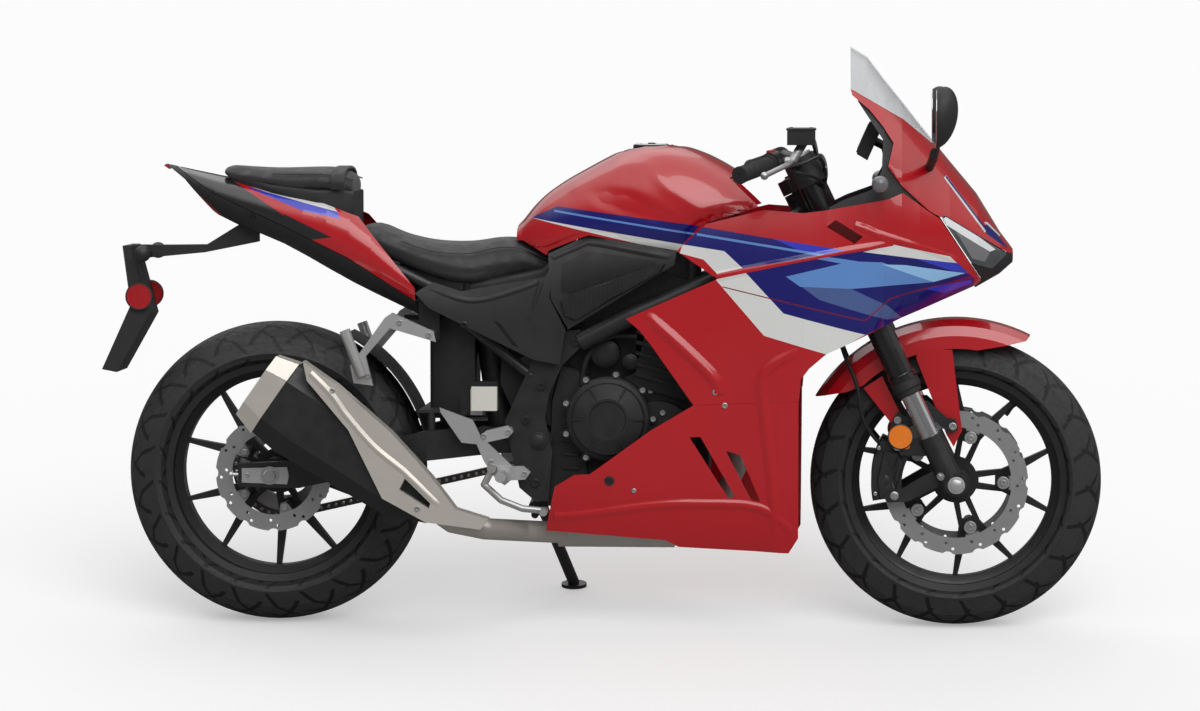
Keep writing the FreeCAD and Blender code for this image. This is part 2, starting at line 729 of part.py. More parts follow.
def bars():
    """Clip-on bars, grips, levers and switch housings."""
    clip = on_leg(-s.leg_top + 2, s.fork_spread)
    clip_end = on_leg(-s.stem_long / 2 - 2.3 - s.clamp_thick, s.fork_spread)
    inner = point(1051, 232, 966)
    outer = point(975, s.bar_end_y, 938)
    along = (outer - inner).normalize()
    root = (clip + clip_end) * 0.5
    ring = rod("ClipRing", clip, clip_end, s.upper_rad + 8)
    arm = rod("ClipArm", root, inner, s.bar_rad + 2)
    bar = rod("BarTube", inner, outer - along * 6, s.bar_rad)
    joint = ball("BarJoint", inner, s.bar_rad + 2)
    hole = rod("ClipBore", on_leg(-s.leg_top - 20, s.fork_spread), on_leg(s.leg_step, s.fork_spread), s.upper_rad)
    keep(both("Handlebars", cut("Handlebar", fuse("BarBlank", ring, arm, bar, joint), hole)), "handlebars")
    start = inner + along * 42
    bore = rod("GripBore", inner, outer - along * 6, s.bar_rad)
    grip = cut("Grip", rod("GripTube", start, outer, s.grip_rad), bore)
    keep(both("Grips", grip), "grips")
    ahead = Vector(0.87, 0.48, 0)
    pivot = inner + along * 12 + ahead * 36
    tip = outer - along * 22 + ahead * 44 - UP * 5
    tube = rod("HousingTube", inner + along * 16, start - along * 0.5, s.grip_rad + 6)
    perch = rod("Perch", inner + along * 24, pivot, 9)
    lever = path("Lever", [pivot, pivot + along * 34 + ahead * 10, tip], 5.5)
    end = ball("LeverEnd", tip, 8)
    bore = rod("HousingBore", inner - along * 20, outer, s.bar_rad)
    control = cut("Control", fuse("ControlBlank", tube, perch, lever, end), bore)
    image = doc.addObject("Part::Mirroring", "Control_right")
    image.Source = control
    image.Normal = ACROSS
    pump_at = point(pivot.x, -pivot.y, pivot.z)
    cup_low = point(1066, -278, 996)
    cup_high = point(1122, -230, 1030)
    cup = block("FluidCup", cup_low, cup_high)
    stem = rod("CupStem", pump_at, point(1098, -252, 1000), 9)
    right = fuse("ControlRight", image, cup, stem)
    keep(group("BarControls", control, right), "bar_controls")


def calipers():
    """A caliper over each front disc, bolted to the arms of its leg's foot."""
    low = float(s.front_disc_y) - 20
    high = float(s.front_disc_y + s.disc_thick) + CALIPER_OUT
    inner = float(s.front_bolt_rad + s.bolt_boss_rad) + 6
    outer = float(s.front_disc_rad) + 26
    base = FRONT_AXLE + ACROSS * low
    hollow = Part.makeCylinder(inner, high - low, base, ACROSS)
    ring = Part.makeCylinder(outer, high - low, base, ACROSS).cut(hollow)
    at = FRONT_AXLE
    wedge = [(at.x, at.z - 10), (at.x - 220, at.z - 44), (at.x - 220, at.z + 120), (at.x, at.z + 20)]
    body = ring.common(slab(wedge, low, high))
    disc_middle = float(s.front_disc_y + s.disc_thick / 2)
    room = Part.makeCylinder(float(s.front_disc_rad) + 6, 10, FRONT_AXLE + ACROSS * (disc_middle - 5), ACROSS)
    window = slab([(1262, 300), (1284, 300), (1288, 345), (1270, 348)], high - 4, high)
    keep(both("FrontCalipers", plain("Caliper", body.cut([room, window]))), "front_calipers")


FENDER_OUTLINE = [
    (1100, 470), (1149, 480), (1187, 487), (1225, 503), (1258, 517), (1328, 561), (1401, 555), (1443, 572), (1506, 582),
    (1552, 592), (1600, 640), (1600, 720), (1050, 720), (1050, 470),
]
FENDER_ARM_REAR = [(1220, 495), (1275, 425), (1290, 412), (1304, 425), (1258, 520)]
FENDER_ARM_FRONT = [(1328, 575), (1401, 575), (1418, 438), (1422, 409), (1405, 375), (1390, 400), (1328, 555)]


def fender():
    """The front fender: a crowned skin round the tyre with two arms down to each leg."""
    top = s.front_rad + s.fender_gap
    thick = s.fender_thick
    half = s.front_half + s.fender_thick + 9
    body = body_of("FenderSkin", FRONT_AXLE)
    outer = [(top, 0), (top - 3, half * 0.5), (top - 16, half * 0.84), (top - 36, half * 0.97), (top - 62, half)]
    skin = [(u, -v) for u, v in reversed(outer[1:])] + outer
    inner = [(u - thick, v) for u, v in outer[:3]]
    inner += [(top - 38, half * 0.97 - thick), (top - 62, half - thick)]
    closed = skin + list(reversed(inner)) + [(u, -v) for u, v in inner[1:]]
    revolve(body, "Fender_skin", closed)
    high = float(half)
    low = high - float(thick)
    outline_room = plain("FenderOutline", slab(FENDER_OUTLINE, -high, high))
    arms = []
    for side in (1, -1):
        for corners in (FENDER_ARM_REAR, FENDER_ARM_FRONT):
            arms.append(plain("FenderArm", slab(corners, *sorted((side * low, side * high)))))
    keep(fuse("Fender", common("FenderBand", body, outline_room), *arms), "front_fender")


def hose(name, places, radius):
    """A hose along straight runs joined by arcs that touch them."""
    edges = []
    start = places[0]
    for before, corner, after in zip(places, places[1:], places[2:]):
        into = corner - before
        onward = after - corner
        reach = min(into.Length, onward.Length) * 0.45
        half_turn = into.getAngle(onward) / 2
        into.normalize()
        onward.normalize()
        entry = corner - into * reach
        leave = corner + onward * reach
        bend = reach / math.tan(half_turn)
        inward = (onward - into).normalize()
        middle = corner + inward * (bend / math.cos(half_turn) - bend)
        edges.append(Part.makeLine(start, entry))
        edges.append(Part.Arc(entry, middle, leave).toShape())
        start = leave
    edges.append(Part.makeLine(start, places[-1]))
    ring = Part.Wire(Part.makeCircle(float(radius), places[0], places[1] - places[0]))
    return plain(name, Part.Wire(edges).makePipeShell([ring], True, False))


def brake_hoses():
    """One hose from each front caliper to the lower clamp."""
    under = STEM + STEM_DOWN * (float(s.stem_long) / 2 + 2 + float(s.clamp_thick) + 0.3) + STEM_AHEAD * 12
    route = [
        point(1252.4, 62, 381), point(1230, 72, 406), point(1214, 84, 446), point(1208, 87, 505), point(1182, 72, 556),
        point(1166, 54, 610), point(1176, 47, 660), under + STEM_DOWN * 42 + ACROSS * 45, under + ACROSS * 45,
    ]
    keep(both("BrakeHoses", hose("BrakeHose", route, s.hose_rad)), "brake_hoses")


# Frame, swingarm and rear end

PEG_BRACKET = [(305, 706), (348, 690), (348, 592), (255, 620), (255, 634), (305, 632)]


def frame():
    """Tubular frame: head tube, spars to the pivot plates, cross tubes and the rear rails."""
    head_half = STEM_DOWN * (float(s.stem_long) / 2)
    head = rod("HeadTube", STEM - head_half, STEM + head_half, s.head_rad)
    head_y = 30
    top_places = [
        point(s.stem_x - 22, head_y, s.stem_z + 20), point(950, 118, 735), point(747, 124, 645), point(640, 116, 590),
    ]
    spar_top = path("SparTop", top_places, s.spar_rad)
    spar_low = path("SparLow", [point(s.stem_x + 8, head_y, s.stem_z - 40), point(960, 118, 706)], s.spar_rad - 4)
    plate_corners = [
        (543, 554), (493, 444), (485, 427), (515, 290), (548, 262), (575, 262), (583, 364), (568, 434), (576, 481),
        (603, 542), (650, 589), (640, 616), (600, 612),
    ]
    plate = plain("PivotPlate", slab(plate_corners, float(s.plate_y), float(s.plate_y + s.plate_thick)))
    rail_top = path("RailTop", [point(600, 112, 600), point(420, 84, 655), point(-60, 60, 860)], s.rail_rad)
    rail_low = path("RailLow", [point(540, 112, 520), point(330, 82, 680)], s.rail_rad - 2)
    half = fuse("FrameHalf", spar_top, spar_low, plate, rail_top, rail_low)
    stand_pivot, sole, stand_axis = stand_axes()
    cheek_start = stand_pivot - stand_axis * float(s.stand_rad + s.seat_gap)
    cheek = rod("StandCheek", cheek_start, cheek_start - stand_axis * 8, 20)
    strut_end = point(548, float(s.plate_y) - 8, 290)
    strut_places = [cheek_start - stand_axis * 8, cheek_start - stand_axis * 28, strut_end]
    strut = path("StandStrut", strut_places, 8)
    image = doc.addObject("Part::Mirroring", "FrameHalf_right")
    image.Source = half
    image.Normal = ACROSS
    bridge_half = float(s.plate_y) + 2
    bridge = rod("PivotBridge", point(530, -bridge_half, 545), point(530, bridge_half, 545), s.spar_rad - 4)
    loop = rod("RailBridge", point(-50, -60, 856), point(-50, 60, 856), s.rail_rad - 2)
    mid = rod("RailMiddle", point(420, -84, 655), point(420, 84, 655), s.rail_rad - 2)
    radiator_stay = both("RadiatorStay", rod("StayLeft", point(950, 118, 712), point(1004, 118, 696.3), 8))
    tank_post = both("TankPost", rod("PostLeft", point(870, 118, 700), point(870, 118, 840), 9))
    seat_post = both("SeatPost", rod("SeatPostLeft", point(405, 84, 655), point(405, 84, 730), 9))
    peg_bracket = both("PegBracket", plain("BracketLeft", slab(PEG_BRACKET, 84, 92)))
    extras = [radiator_stay, tank_post, seat_post, peg_bracket]
    whole = fuse("FrameBlank", head, half, image, bridge, loop, mid, cheek, strut, *extras)
    stem_bore = rod("StemBore", STEM - head_half * 1.2, STEM + head_half * 1.2, s.stem_rad + s.bore_gap)
    pivot_bore = rod("PivotBore", PIVOT - ACROSS * 200, PIVOT + ACROSS * 200, s.pivot_rad)
    stand_bore = rod("StandBore", stand_pivot, stand_pivot - stand_axis * 40, 6)
    seat_room = plain("SeatRoom", loft(SEAT_FORM, SEAT_GAP))
    tank_room = plain("TankRoom", slab([(x, z - 0.3) for x, z in TANK_COVER], -300, 300))
    keep(cut("Frame", whole, stem_bore, pivot_bore, stand_bore, seat_room, tank_room), "frame")


def swingarm():
    """Box arms from the pivot tube to the axle plates, joined by a cross member."""
    front = float(s.arm_front_y)
    rear = float(s.arm_rear_y)
    wide = float(s.arm_wide)
    half = float(s.arm_high) / 2

    def arm_section(x, inner, low, high):
        outer = inner + wide
        spots = [Vector(x, inner, low), Vector(x, outer, low), Vector(x, outer, high), Vector(x, inner, high)]
        return Part.makePolygon(spots + [spots[0]])

    stations = [
        (PIVOT.x, front, PIVOT.z - half, PIVOT.z + half),
        (PIVOT.x - 90, front + 2, PIVOT.z - half - 4, PIVOT.z + half),
        (PIVOT.x - 230, rear, PIVOT.z - half - 18, PIVOT.z + half - 6),
        (REAR_AXLE.x + 60, rear, REAR_AXLE.z - 26, REAR_AXLE.z + 30),
        (REAR_AXLE.x - 66, rear, REAR_AXLE.z - 24, REAR_AXLE.z + 24),
    ]
    arm = Part.makeLoft([arm_section(*station) for station in stations], True, True)
    arm_left = plain("ArmLeft", arm)
    arm_right = plain("ArmRight", arm.mirror(MIDDLE, ACROSS))
    tube_end = ACROSS * (float(s.plate_y) - 0.5)
    tube = rod("PivotTube", PIVOT - tube_end, PIVOT + tube_end, s.pivot_rad + 16)
    cross = rod("CrossTube", PIVOT + Vector(-130, -front - 8, -8), PIVOT + Vector(-130, front + 8, -8), 22)
    whole = fuse("ArmBlank", arm_left, arm_right, tube, cross)
    pivot_bore = rod("ArmBore", PIVOT - ACROSS * 200, PIVOT + ACROSS * 200, s.pivot_rad)
    axle_bore = rod("ArmAxleBore", REAR_AXLE - ACROSS * 200, REAR_AXLE + ACROSS * 200, s.axle_rad)
    face = float(s.arm_rear_y + s.arm_wide)
    holes = []
    for side in (1, -1):
        start = point(REAR_AXLE.x + float(s.bobbin_ahead), side * (face - float(s.bobbin_deep)), REAR_AXLE.z)
        holes.append(plain("BobbinHole", Part.makeCylinder(float(s.bobbin_rad), 40, start, ACROSS * side)))
    keep(cut("Swingarm", whole, pivot_bore, axle_bore, *holes), "swingarm")
    bolt_end = ACROSS * float(s.plate_y + s.plate_thick + 5)
    keep(rod("PivotBolt", PIVOT - bolt_end, PIVOT + bolt_end, s.pivot_rad), "pivot_bolt")
    axle_end = ACROSS * float(s.arm_rear_y + s.arm_wide + 9)
    keep(rod("RearAxle", REAR_AXLE - axle_end, REAR_AXLE + axle_end, s.axle_rad), "rear_axle")


def rear_spacers():
    """Axle spacers that carry the rear wheel between the arms, and the caliper's bracket."""
    hub = float(s.rear_hub_half) + 0.3
    start = ACROSS * hub
    end = ACROSS * float(s.arm_rear_y)
    tube = rod("SpacerTube", REAR_AXLE + start, REAR_AXLE + end, s.axle_rad + 6)
    left = cut("SpacerLeft", tube, rod("SpacerBore", REAR_AXLE, REAR_AXLE + end * 2, s.axle_rad))
    keep(both("Spacers", left), "rear_spacers")
    disc_middle = -float(s.rear_disc_y + s.disc_thick / 2)
    low = REAR_AXLE + Vector(60, disc_middle - 20, 78)
    high = REAR_AXLE + Vector(130, disc_middle + 22, 130)
    gap_start = REAR_AXLE + ACROSS * (disc_middle - 5)
    gap = rod("RearGap", gap_start, gap_start + ACROSS * 10, s.rear_disc_rad + 6)
    keep(cut("RearCaliper", block("RearCaliperBody", low, high), gap), "rear_caliper")


def chain():
    """The drive chain: one closed band round both sprockets."""
    rear = REAR_AXLE
    front = point(s.drive_x, 0, s.drive_z)
    half = float(s.chain_half)
    wide = float(s.chain_wide)
    low_y = float(s.chain_y) - wide / 2
    bands = []
    for grow in (half, -half):
        rear_rad = pitch_radius(s.rear_teeth) + grow
        front_rad = pitch_radius(s.front_teeth) + grow
        bands.append(belt(rear, rear_rad, front, front_rad, low_y, wide))
    keep(plain("Chain", bands[0].cut(bands[1])), "chain")


def belt(rear, rear_rad, front, front_rad, low_y, wide):
    """The solid inside a taut loop round two circles."""
    span = front - rear
    reach = math.hypot(span.x, span.z)
    slope = math.atan2(span.z, span.x)
    lean = math.acos((rear_rad - front_rad) / reach)
    ends = []
    for centre, radius in ((rear, rear_rad), (front, front_rad)):
        for side in (1, -1):
            angle = slope + side * lean
            ends.append(Vector(centre.x + radius * math.cos(angle), low_y, centre.z + radius * math.sin(angle)))
    middle = Part.Face(Part.makePolygon([ends[0], ends[2], ends[3], ends[1], ends[0]])).extrude(ACROSS * wide)
    big = Part.makeCylinder(rear_rad, wide, Vector(rear.x, low_y, rear.z), ACROSS)
    small = Part.makeCylinder(front_rad, wide, Vector(front.x, low_y, front.z), ACROSS)
    return middle.fuse([big, small]).removeSplitter()


# Engine

def engine():
    """Crankcase, leaned cylinders and head as one heavy block, with its covers."""
    half = float(s.case_half)
    wide = float(s.crank_half)
    clutch_at = point(s.clutch_x, 0, s.clutch_z)
    dynamo_at = point(s.dynamo_x, 0, s.dynamo_z)
    case_corners = [
        (600, 430), (612, 300), (660, 245), (860, 235), (900, 290), (905, 420), (880, 500), (760, 530), (640, 470),
    ]
    case = slab(case_corners, -half, half)
    clutch_case = Part.makeCylinder(float(s.clutch_rad), wide, clutch_at - ACROSS * wide, ACROSS)
    crank = Part.makeCylinder(float(s.clutch_rad) * 0.9, 2 * wide, dynamo_at - ACROSS * wide, ACROSS)
    cylinders = slab([(745, 500), (880, 460), (922, 640), (790, 680)], -90, 90)
    head = slab([(790, 676), (922, 636), (936, 696), (810, 732)], -97, 97)
    fins = []
    for level in range(520, 640, 22):
        fins.append(slab([(752, level), (884, level - 38), (886, level - 31), (754, level + 7)], -96, 96))
    whole = case.fuse([clutch_case, crank, cylinders, head] + fins).removeSplitter()
    keep(plain("Engine", whole), "engine")
    clutch = body_of("ClutchCover", clutch_at - ACROSS * wide)
    deep = s.clutch_deep
    rad = s.clutch_rad
    profile = [
        (0, 0), (rad, 0), (rad, -deep * 0.3), (rad * 0.95, -deep * 0.42), (rad * 0.87, -deep * 0.46),
        (rad * 0.84, -deep * 0.8), (rad * 0.5, -deep * 0.95), (rad * 0.44, -deep * 0.95), (rad * 0.42, -deep * 0.88), (0, -deep * 0.88),
    ]
    revolve(clutch, "Clutch_cap", profile)
    rib_corners = [(rad * 0.48, -1.5), (rad * 0.85, -1.5), (rad * 0.85, 1.5), (rad * 0.48, 1.5)]
    rib = pad(clutch, "Clutch_rib", lambda sketch: outline(sketch, rib_corners), deep * 0.9, "XZ_Plane", deep * 0.5)
    ring_of(clutch, "Clutch_ribs", rib, 6)
    boss = pad(clutch, "Clutch_boss", lambda sketch: circle(sketch, rad + 5, 0, 9), deep * 0.3, "XZ_Plane", deep * 0.15)
    ring_of(clutch, "Clutch_bosses", boss, 9)
    dynamo = body_of("DynamoCover", dynamo_at + ACROSS * wide)
    rad = s.clutch_rad * 0.85
    profile = [(0, 0), (rad, 0), (rad, deep * 0.4), (rad * 0.8, deep * 0.8), (0, deep * 0.8)]
    revolve(dynamo, "Dynamo_cap", profile)
    keep(group("EngineCovers", clutch, dynamo), "engine_covers")
    low = point(985, -165, 440)
    high = point(1025, 165, 688)
    keep(block("Radiator", low, high), "radiator")


def exhaust():
    """Headers from the head, collector box below, pipe to the muffler on the right."""
    headers = []
    for side in (1, -1):
        y = 60 * side
        route = [
            point(929.2, y, 666), point(957, y, 659.5), point(961, y, 330), point(900, y * 0.7, 205),
            point(800, y * 0.6, 196),
        ]
        headers.append(path("Header", route, s.pipe_rad))
    rounds = [rod("CollectorSide", point(590, y, 191), point(830, y, 191), 31) for y in (-39, 39)]
    box = fuse("Collector", block("CollectorMiddle", point(590, -39, 160), point(830, 39, 222)), *rounds)
    front, back, along = muffler_axis()
    bends = [
        point(600, -50, 190), point(520, -110, 200), point(450, -190, 212), front - along * 42, front - along * 0.3,
    ]
    tail = path("TailPipe", bends, s.pipe_rad + 3)
    keep(fuse("Exhaust", headers[0], headers[1], box, tail), "exhaust_pipes")
    muffler()


def muffler_axis():
    """Front and back of the muffler's can and the direction between them."""
    front = point(352, -s.muffler_y, 252)
    back = point(28, -s.muffler_y, 480)
    return front, back, (back - front).normalize()


def muffler_ring(at, wide, high):
    """An eight-sided section across the muffler's axis."""
    front, back, along = muffler_axis()
    upright = along.cross(ACROSS).normalize()
    if upright.z < 0:
        upright = upright * -1
    spots = []
    for a, b in ((1, 0.55), (0.6, 1), (-0.6, 1), (-1, 0.55), (-1, -0.55), (-0.6, -1), (0.6, -1), (1, -0.55)):
        spots.append(at + ACROSS * (a * wide) + upright * (b * high))
    return Part.makePolygon(spots + [spots[0]])


def muffler_form(grow=0.0):
    """The can's solid, grown all round for what has to clear it."""
    front, back, along = muffler_axis()
    stations = [(front, 34, 30), (front + along * 90, 50, 66), (back - along * 60, 54, 88), (back, 50, 82)]
    return Part.makeLoft([muffler_ring(at, wide + grow, high + grow) for at, wide, high in stations], True, True)


def muffler():
    """Short faceted can with an end cap round its outlet, and a bright heat shield."""
    front, back, along = muffler_axis()
    keep(plain("Muffler", muffler_form()), "muffler_can")
    cap = Part.makeLoft([muffler_ring(back, 52, 86), muffler_ring(back + along * 48, 44, 72)], True, True)
    bore = Part.makeCylinder(24, 60, back + along * 14, along)
    keep(plain("MufflerCap", cap.cut(bore)), "muffler_cap")
    outer = -float(s.muffler_y) - 66
    shield = slab(HEAT_SHIELD, outer, -float(s.muffler_y) - 20)
    window = slab(SHIELD_SLOT, outer - 10, -float(s.muffler_y) + 10)
    solid = shield.cut(muffler_form(0.3)).cut(window)
    pipe_room = Part.makeCylinder(float(s.pipe_rad) + 3.4, 200, front - along * 190, along)
    keep(largest("HeatShield", solid.cut(pipe_room)), "muffler_shield")


HEAT_SHIELD = [
    (90, 559), (158, 512), (268, 416), (350, 326), (399, 261), (465, 241), (449, 220), (338, 234), (250, 282),
    (182, 420), (98, 520),
]
SHIELD_SLOT = [(300, 330), (352, 285), (345, 262), (285, 300)]


# Bodywork

FAIRING_FORM = [
    (560, [(0, 140), (80, 150), (150, 250), (182, 400), (195, 550), (192, 700), (165, 850), (100, 950), (0, 985)]),
    (800, [(0, 135), (100, 150), (165, 250), (195, 400), (207, 550), (210, 700), (192, 850), (125, 960), (0, 1000)]),
    (1000, [(0, 135), (105, 150), (160, 250), (192, 400), (212, 550), (222, 700), (208, 850), (140, 975), (0, 1030)]),
    (1100, [(0, 140), (110, 155), (162, 255), (194, 400), (215, 550), (226, 700), (213, 850), (150, 1000), (0, 1080)]),
    (1190, [(0, 300), (100, 330), (150, 420), (185, 520), (208, 620), (220, 740), (212, 870), (150, 1040), (0, 1195)]),
    (1260, [(0, 560), (90, 580), (145, 630), (180, 690), (203, 760), (212, 840), (200, 930), (138, 1050), (0, 1127)]),
    (1332, [(0, 630), (75, 640), (125, 670), (165, 715), (190, 770), (198, 830), (180, 900), (120, 985), (0, 1037)]),
    (1393, [(0, 668), (60, 675), (105, 697), (140, 730), (163, 775), (170, 820), (152, 868), (98, 930), (0, 962)]),
    (1450, [(0, 700), (45, 704), (80, 720), (108, 744), (124, 775), (128, 806), (112, 840), (70, 877), (0, 894)]),
    (1498, [(0, 728), (25, 730), (45, 738), (60, 752), (68, 769), (66, 785), (56, 800), (32, 812), (0, 816)]),
    (1525, [(0, 752), (10, 753), (18, 757), (24, 762), (26, 767), (24, 772), (18, 776), (10, 779), (0, 780)]),
]

SIDE_FAIRING = [
    (842, 781), (902, 836), (1017, 864), (1098, 858), (1145, 864), (1268, 886), (1298, 899), (1353, 859),
    (1373, 846), (1436, 752), (1460, 717), (1448, 706), (1296, 642), (1145, 573), (1111, 544), (1094, 522),
    (1090, 477), (876, 468), (791, 589), (767, 619), (739, 643), (925, 725),
]
SIDE_VENT = [(1163, 845), (1218, 811), (1201, 797), (1145, 831)]
BELLY_PAN = [
    (1089, 476.5), (1088, 191), (1068, 158), (843, 170), (816, 185), (570, 203), (591, 297), (632, 322),
    (664, 324), (787, 414), (876, 467.5),
]
BELLY_SLOTS = [
    [(868, 402), (890, 403), (959, 281), (948, 273)],
    [(942, 374), (971, 366), (1012, 268), (993, 270)],
]
UPPER_COWL = [
    (1191, 1108), (1300, 1045), (1374, 984), (1420, 1000), (1600, 820), (1600, 760), (1514, 773), (1384, 853),
    (1375, 849), (1352, 862), (1297, 912), (1268, 951), (1279, 999), (1257, 1033), (1230, 1066), (1195, 1095),
]
HEADLAMP = [(1378, 845), (1385, 850), (1513, 771), (1481, 741), (1438, 755)]
NOSE_TRAY = [
    (1461.5, 717), (1437, 754), (1481, 740.5), (1514, 771.5), (1600, 771.5), (1600, 700), (1448, 700), (1449, 705.5),
]
LAMP_GAP = [(1378, 846), (1384, 851.5), (1513, 772.5), (1513, 771.5), (1481, 741), (1438, 754.5)]
INNER_PANEL = [
    (1150, 845), (1268, 850), (1330, 855), (1330, 930), (1300, 1020), (1240, 1075), (1205, 1085), (1258, 1005),
    (1256, 945), (1235, 905), (1180, 885), (1150, 870),
]
WINDSCREEN = [(1191, 1108.5), (1300, 1045.5), (1374.4, 984.4), (1460, 1010), (1260, 1300), (1190, 1200)]


def fairings():
    wall = float(s.wall)
    skin = shell_of(FAIRING_FORM, wall)
    keep(both("SideFairings", panel("SideFairing", skin, SIDE_FAIRING, [SIDE_VENT], 20)), "side_fairings")
    keep(both("BellyPans", panel("BellyPan", skin, BELLY_PAN, BELLY_SLOTS, 40)), "belly_pans")
    keep(plain("UpperCowl", skin.common(slab(UPPER_COWL, -400, 400))), "upper_cowl")
    keep(both("Headlamps", panel("Headlamp", skin, HEADLAMP, (), 24)), "headlamps")
    keep(plain("Windscreen", skin.common(slab(WINDSCREEN, -400, 400))), "windscreen")
    tray = skin.common(slab(NOSE_TRAY, -400, 400)).fuse(skin.common(slab(LAMP_GAP, -23.5, 23.5)))
    liner = loft(FAIRING_FORM, wall + 0.3).cut(loft(FAIRING_FORM, wall + 3.3))
    lining = both("CockpitLining", panel("Lining", liner, INNER_PANEL, (), 20))
    keep(group("InnerPanels", plain("NoseTray", tray.removeSplitter()), lining), "inner_panels")


TANK_FORM = [
    (506, [(0, 770), (40, 772), (66, 784), (74, 800), (66, 815), (40, 824), (0, 828)]),
    (560, [(0, 700), (62, 706), (96, 745), (108, 800), (98, 848), (60, 878), (0, 886)]),
    (650, [(0, 690), (78, 698), (120, 750), (136, 820), (124, 886), (76, 930), (0, 942)]),
    (771, [(0, 690), (90, 698), (135, 760), (152, 840), (140, 920), (88, 978), (0, 995)]),
    (900, [(0, 700), (95, 710), (140, 765), (156, 830), (142, 900), (90, 955), (0, 970)]),
    (1028, [(0, 760), (70, 768), (112, 800), (126, 838), (114, 866), (68, 884), (0, 890)]),
]
HINGE_OUT = 4
TANK_COVER = [
    (400, 800), (520, 797), (570, 768), (576, 778), (657, 810), (841, 779), (905, 838), (1025, 874),
    (1060, 900), (1000, 1060), (500, 1060), (400, 900),
]
AIR_COVER = [(583, 680), (576, 772), (657, 809.5), (840, 778.5), (836, 752), (618, 618)]


def tank():
    """Tank cover with a well for the filler, the filler's neck, and its hinged lid."""
    form = loft(TANK_FORM)
    sweep = math.hypot(float(s.fork_offset), float(s.fork_spread)) + float(s.upper_rad) + 17
    room = Part.makeCylinder(sweep, 90, STEM - STEM_DOWN * 64, STEM_DOWN * -1)
    cover = form.common(slab(TANK_COVER, -300, 300)).cut(room)
    rad = float(s.cap_rad)
    top = point(s.cap_x, 0, s.tank_top_z)
    well = Part.makeCylinder(rad + 18, 60, top - UP * 22, UP)
    neck = Part.makeCylinder(rad - 3, 10.7, top - UP * 22, UP)
    hinge = top + Vector(rad + HINGE_OUT, 0, -6)
    ears = []
    for side in (1, -1):
        start = hinge + ACROSS * (side * 11 - 3)
        ears.append(Part.makeCylinder(4, 6, start, ACROSS))
        ears.append(Part.makeBox(8, 6, 17, start + Vector(-4, 0, -17)))
    whole = cover.cut(well).fuse([neck] + ears)
    pin_bore = Part.makeCylinder(2, 60, hinge - ACROSS * 30, ACROSS)
    keep(plain("Tank", whole.cut(pin_bore).removeSplitter()), "fuel_tank")
    lid = Part.makeCylinder(rad, 8, top - UP * 11, UP)
    knuckle = Part.makeCylinder(4, 15, hinge - ACROSS * 7.5, ACROSS)
    arm = Part.makeBox(12, 15, 6, hinge + Vector(-12, -7.5, -3))
    lid = lid.fuse([knuckle, arm]).cut(Part.makeCylinder(2.05, 60, hinge - ACROSS * 30, ACROSS))
    keep(plain("FuelLid", lid.removeSplitter()), "fuel_lid")
    keep(plain("LidPin", Part.makeCylinder(2, 28, hinge - ACROSS * 14, ACROSS)), "lid_pin")


SEAT_FORM = [
    (172, [(0, 800), (36, 801), (62, 806), (72, 814), (62, 822), (36, 826), (0, 828)]),
    (215, [(0, 772), (50, 774), (88, 784), (100, 800), (88, 816), (50, 826), (0, 829)]),
    (270, [(0, 748), (58, 750), (100, 760), (114, 778), (102, 794), (60, 803), (0, 805)]),
    (340, [(0, 722), (64, 724), (112, 734), (128, 752), (114, 774), (66, 788), (0, 792)]),
    (410, [(0, 702), (62, 704), (108, 716), (124, 740), (110, 770), (64, 787), (0, 791)]),
    (470, [(0, 712), (58, 714), (102, 726), (118, 750), (106, 782), (60, 797), (0, 799)]),
    (520, [(0, 722), (52, 724), (94, 735), (110, 754), (100, 780), (56, 792), (0, 794)]),
    (560, [(0, 730), (44, 731), (80, 738), (94, 748), (84, 762), (46, 768), (0, 769)]),
    (588, [(0, 738), (34, 739), (58, 742), (68, 746), (58, 750), (34, 752), (0, 753)]),
]
PAD_FORM = [
    (-110, [(0, 930), (30, 931), (52, 934), (60, 938), (52, 943), (30, 946), (0, 947)]),
    (0, [(0, 905), (48, 906), (84, 912), (96, 921), (84, 932), (48, 939), (0, 941)]),
    (120, [(0, 893), (56, 894), (98, 902), (112, 915), (98, 931), (56, 940), (0, 943)]),
    (168, [(0, 880), (46, 882), (78, 892), (88, 906), (78, 920), (46, 928), (0, 931)]),
]
TAIL_FORM = [
    (-225, [(0, 930), (10, 931), (18, 935), (22, 941), (18, 947), (10, 950), (0, 951)]),
    (-120, [(0, 845), (36, 848), (62, 866), (72, 890), (62, 912), (36, 926), (0, 928)]),
    (20, [(0, 785), (52, 789), (90, 812), (106, 845), (92, 880), (52, 900), (0, 903)]),
    (165, [(0, 705), (60, 710), (104, 745), (122, 790), (108, 842), (60, 872), (0, 876)]),
    (300, [(0, 640), (62, 645), (106, 670), (124, 700), (112, 722), (64, 730), (0, 732)]),
]


TAIL_BLACK = [
    (-230, 952), (-188, 921), (-119, 843), (-90, 812), (10, 780), (79, 750), (124, 705), (239, 652), (300, 630),
    (330, 652), (161, 760), (20, 828), (-120, 890), (-228, 958),
]
TAIL_RED = [
    (-228, 959.5), (-120, 891.5), (20, 829.5), (161, 761.5), (330, 653.5), (300, 700), (180, 846), (90, 880),
    (0, 960), (-228, 962),
]
SEAT_GAP = -0.4


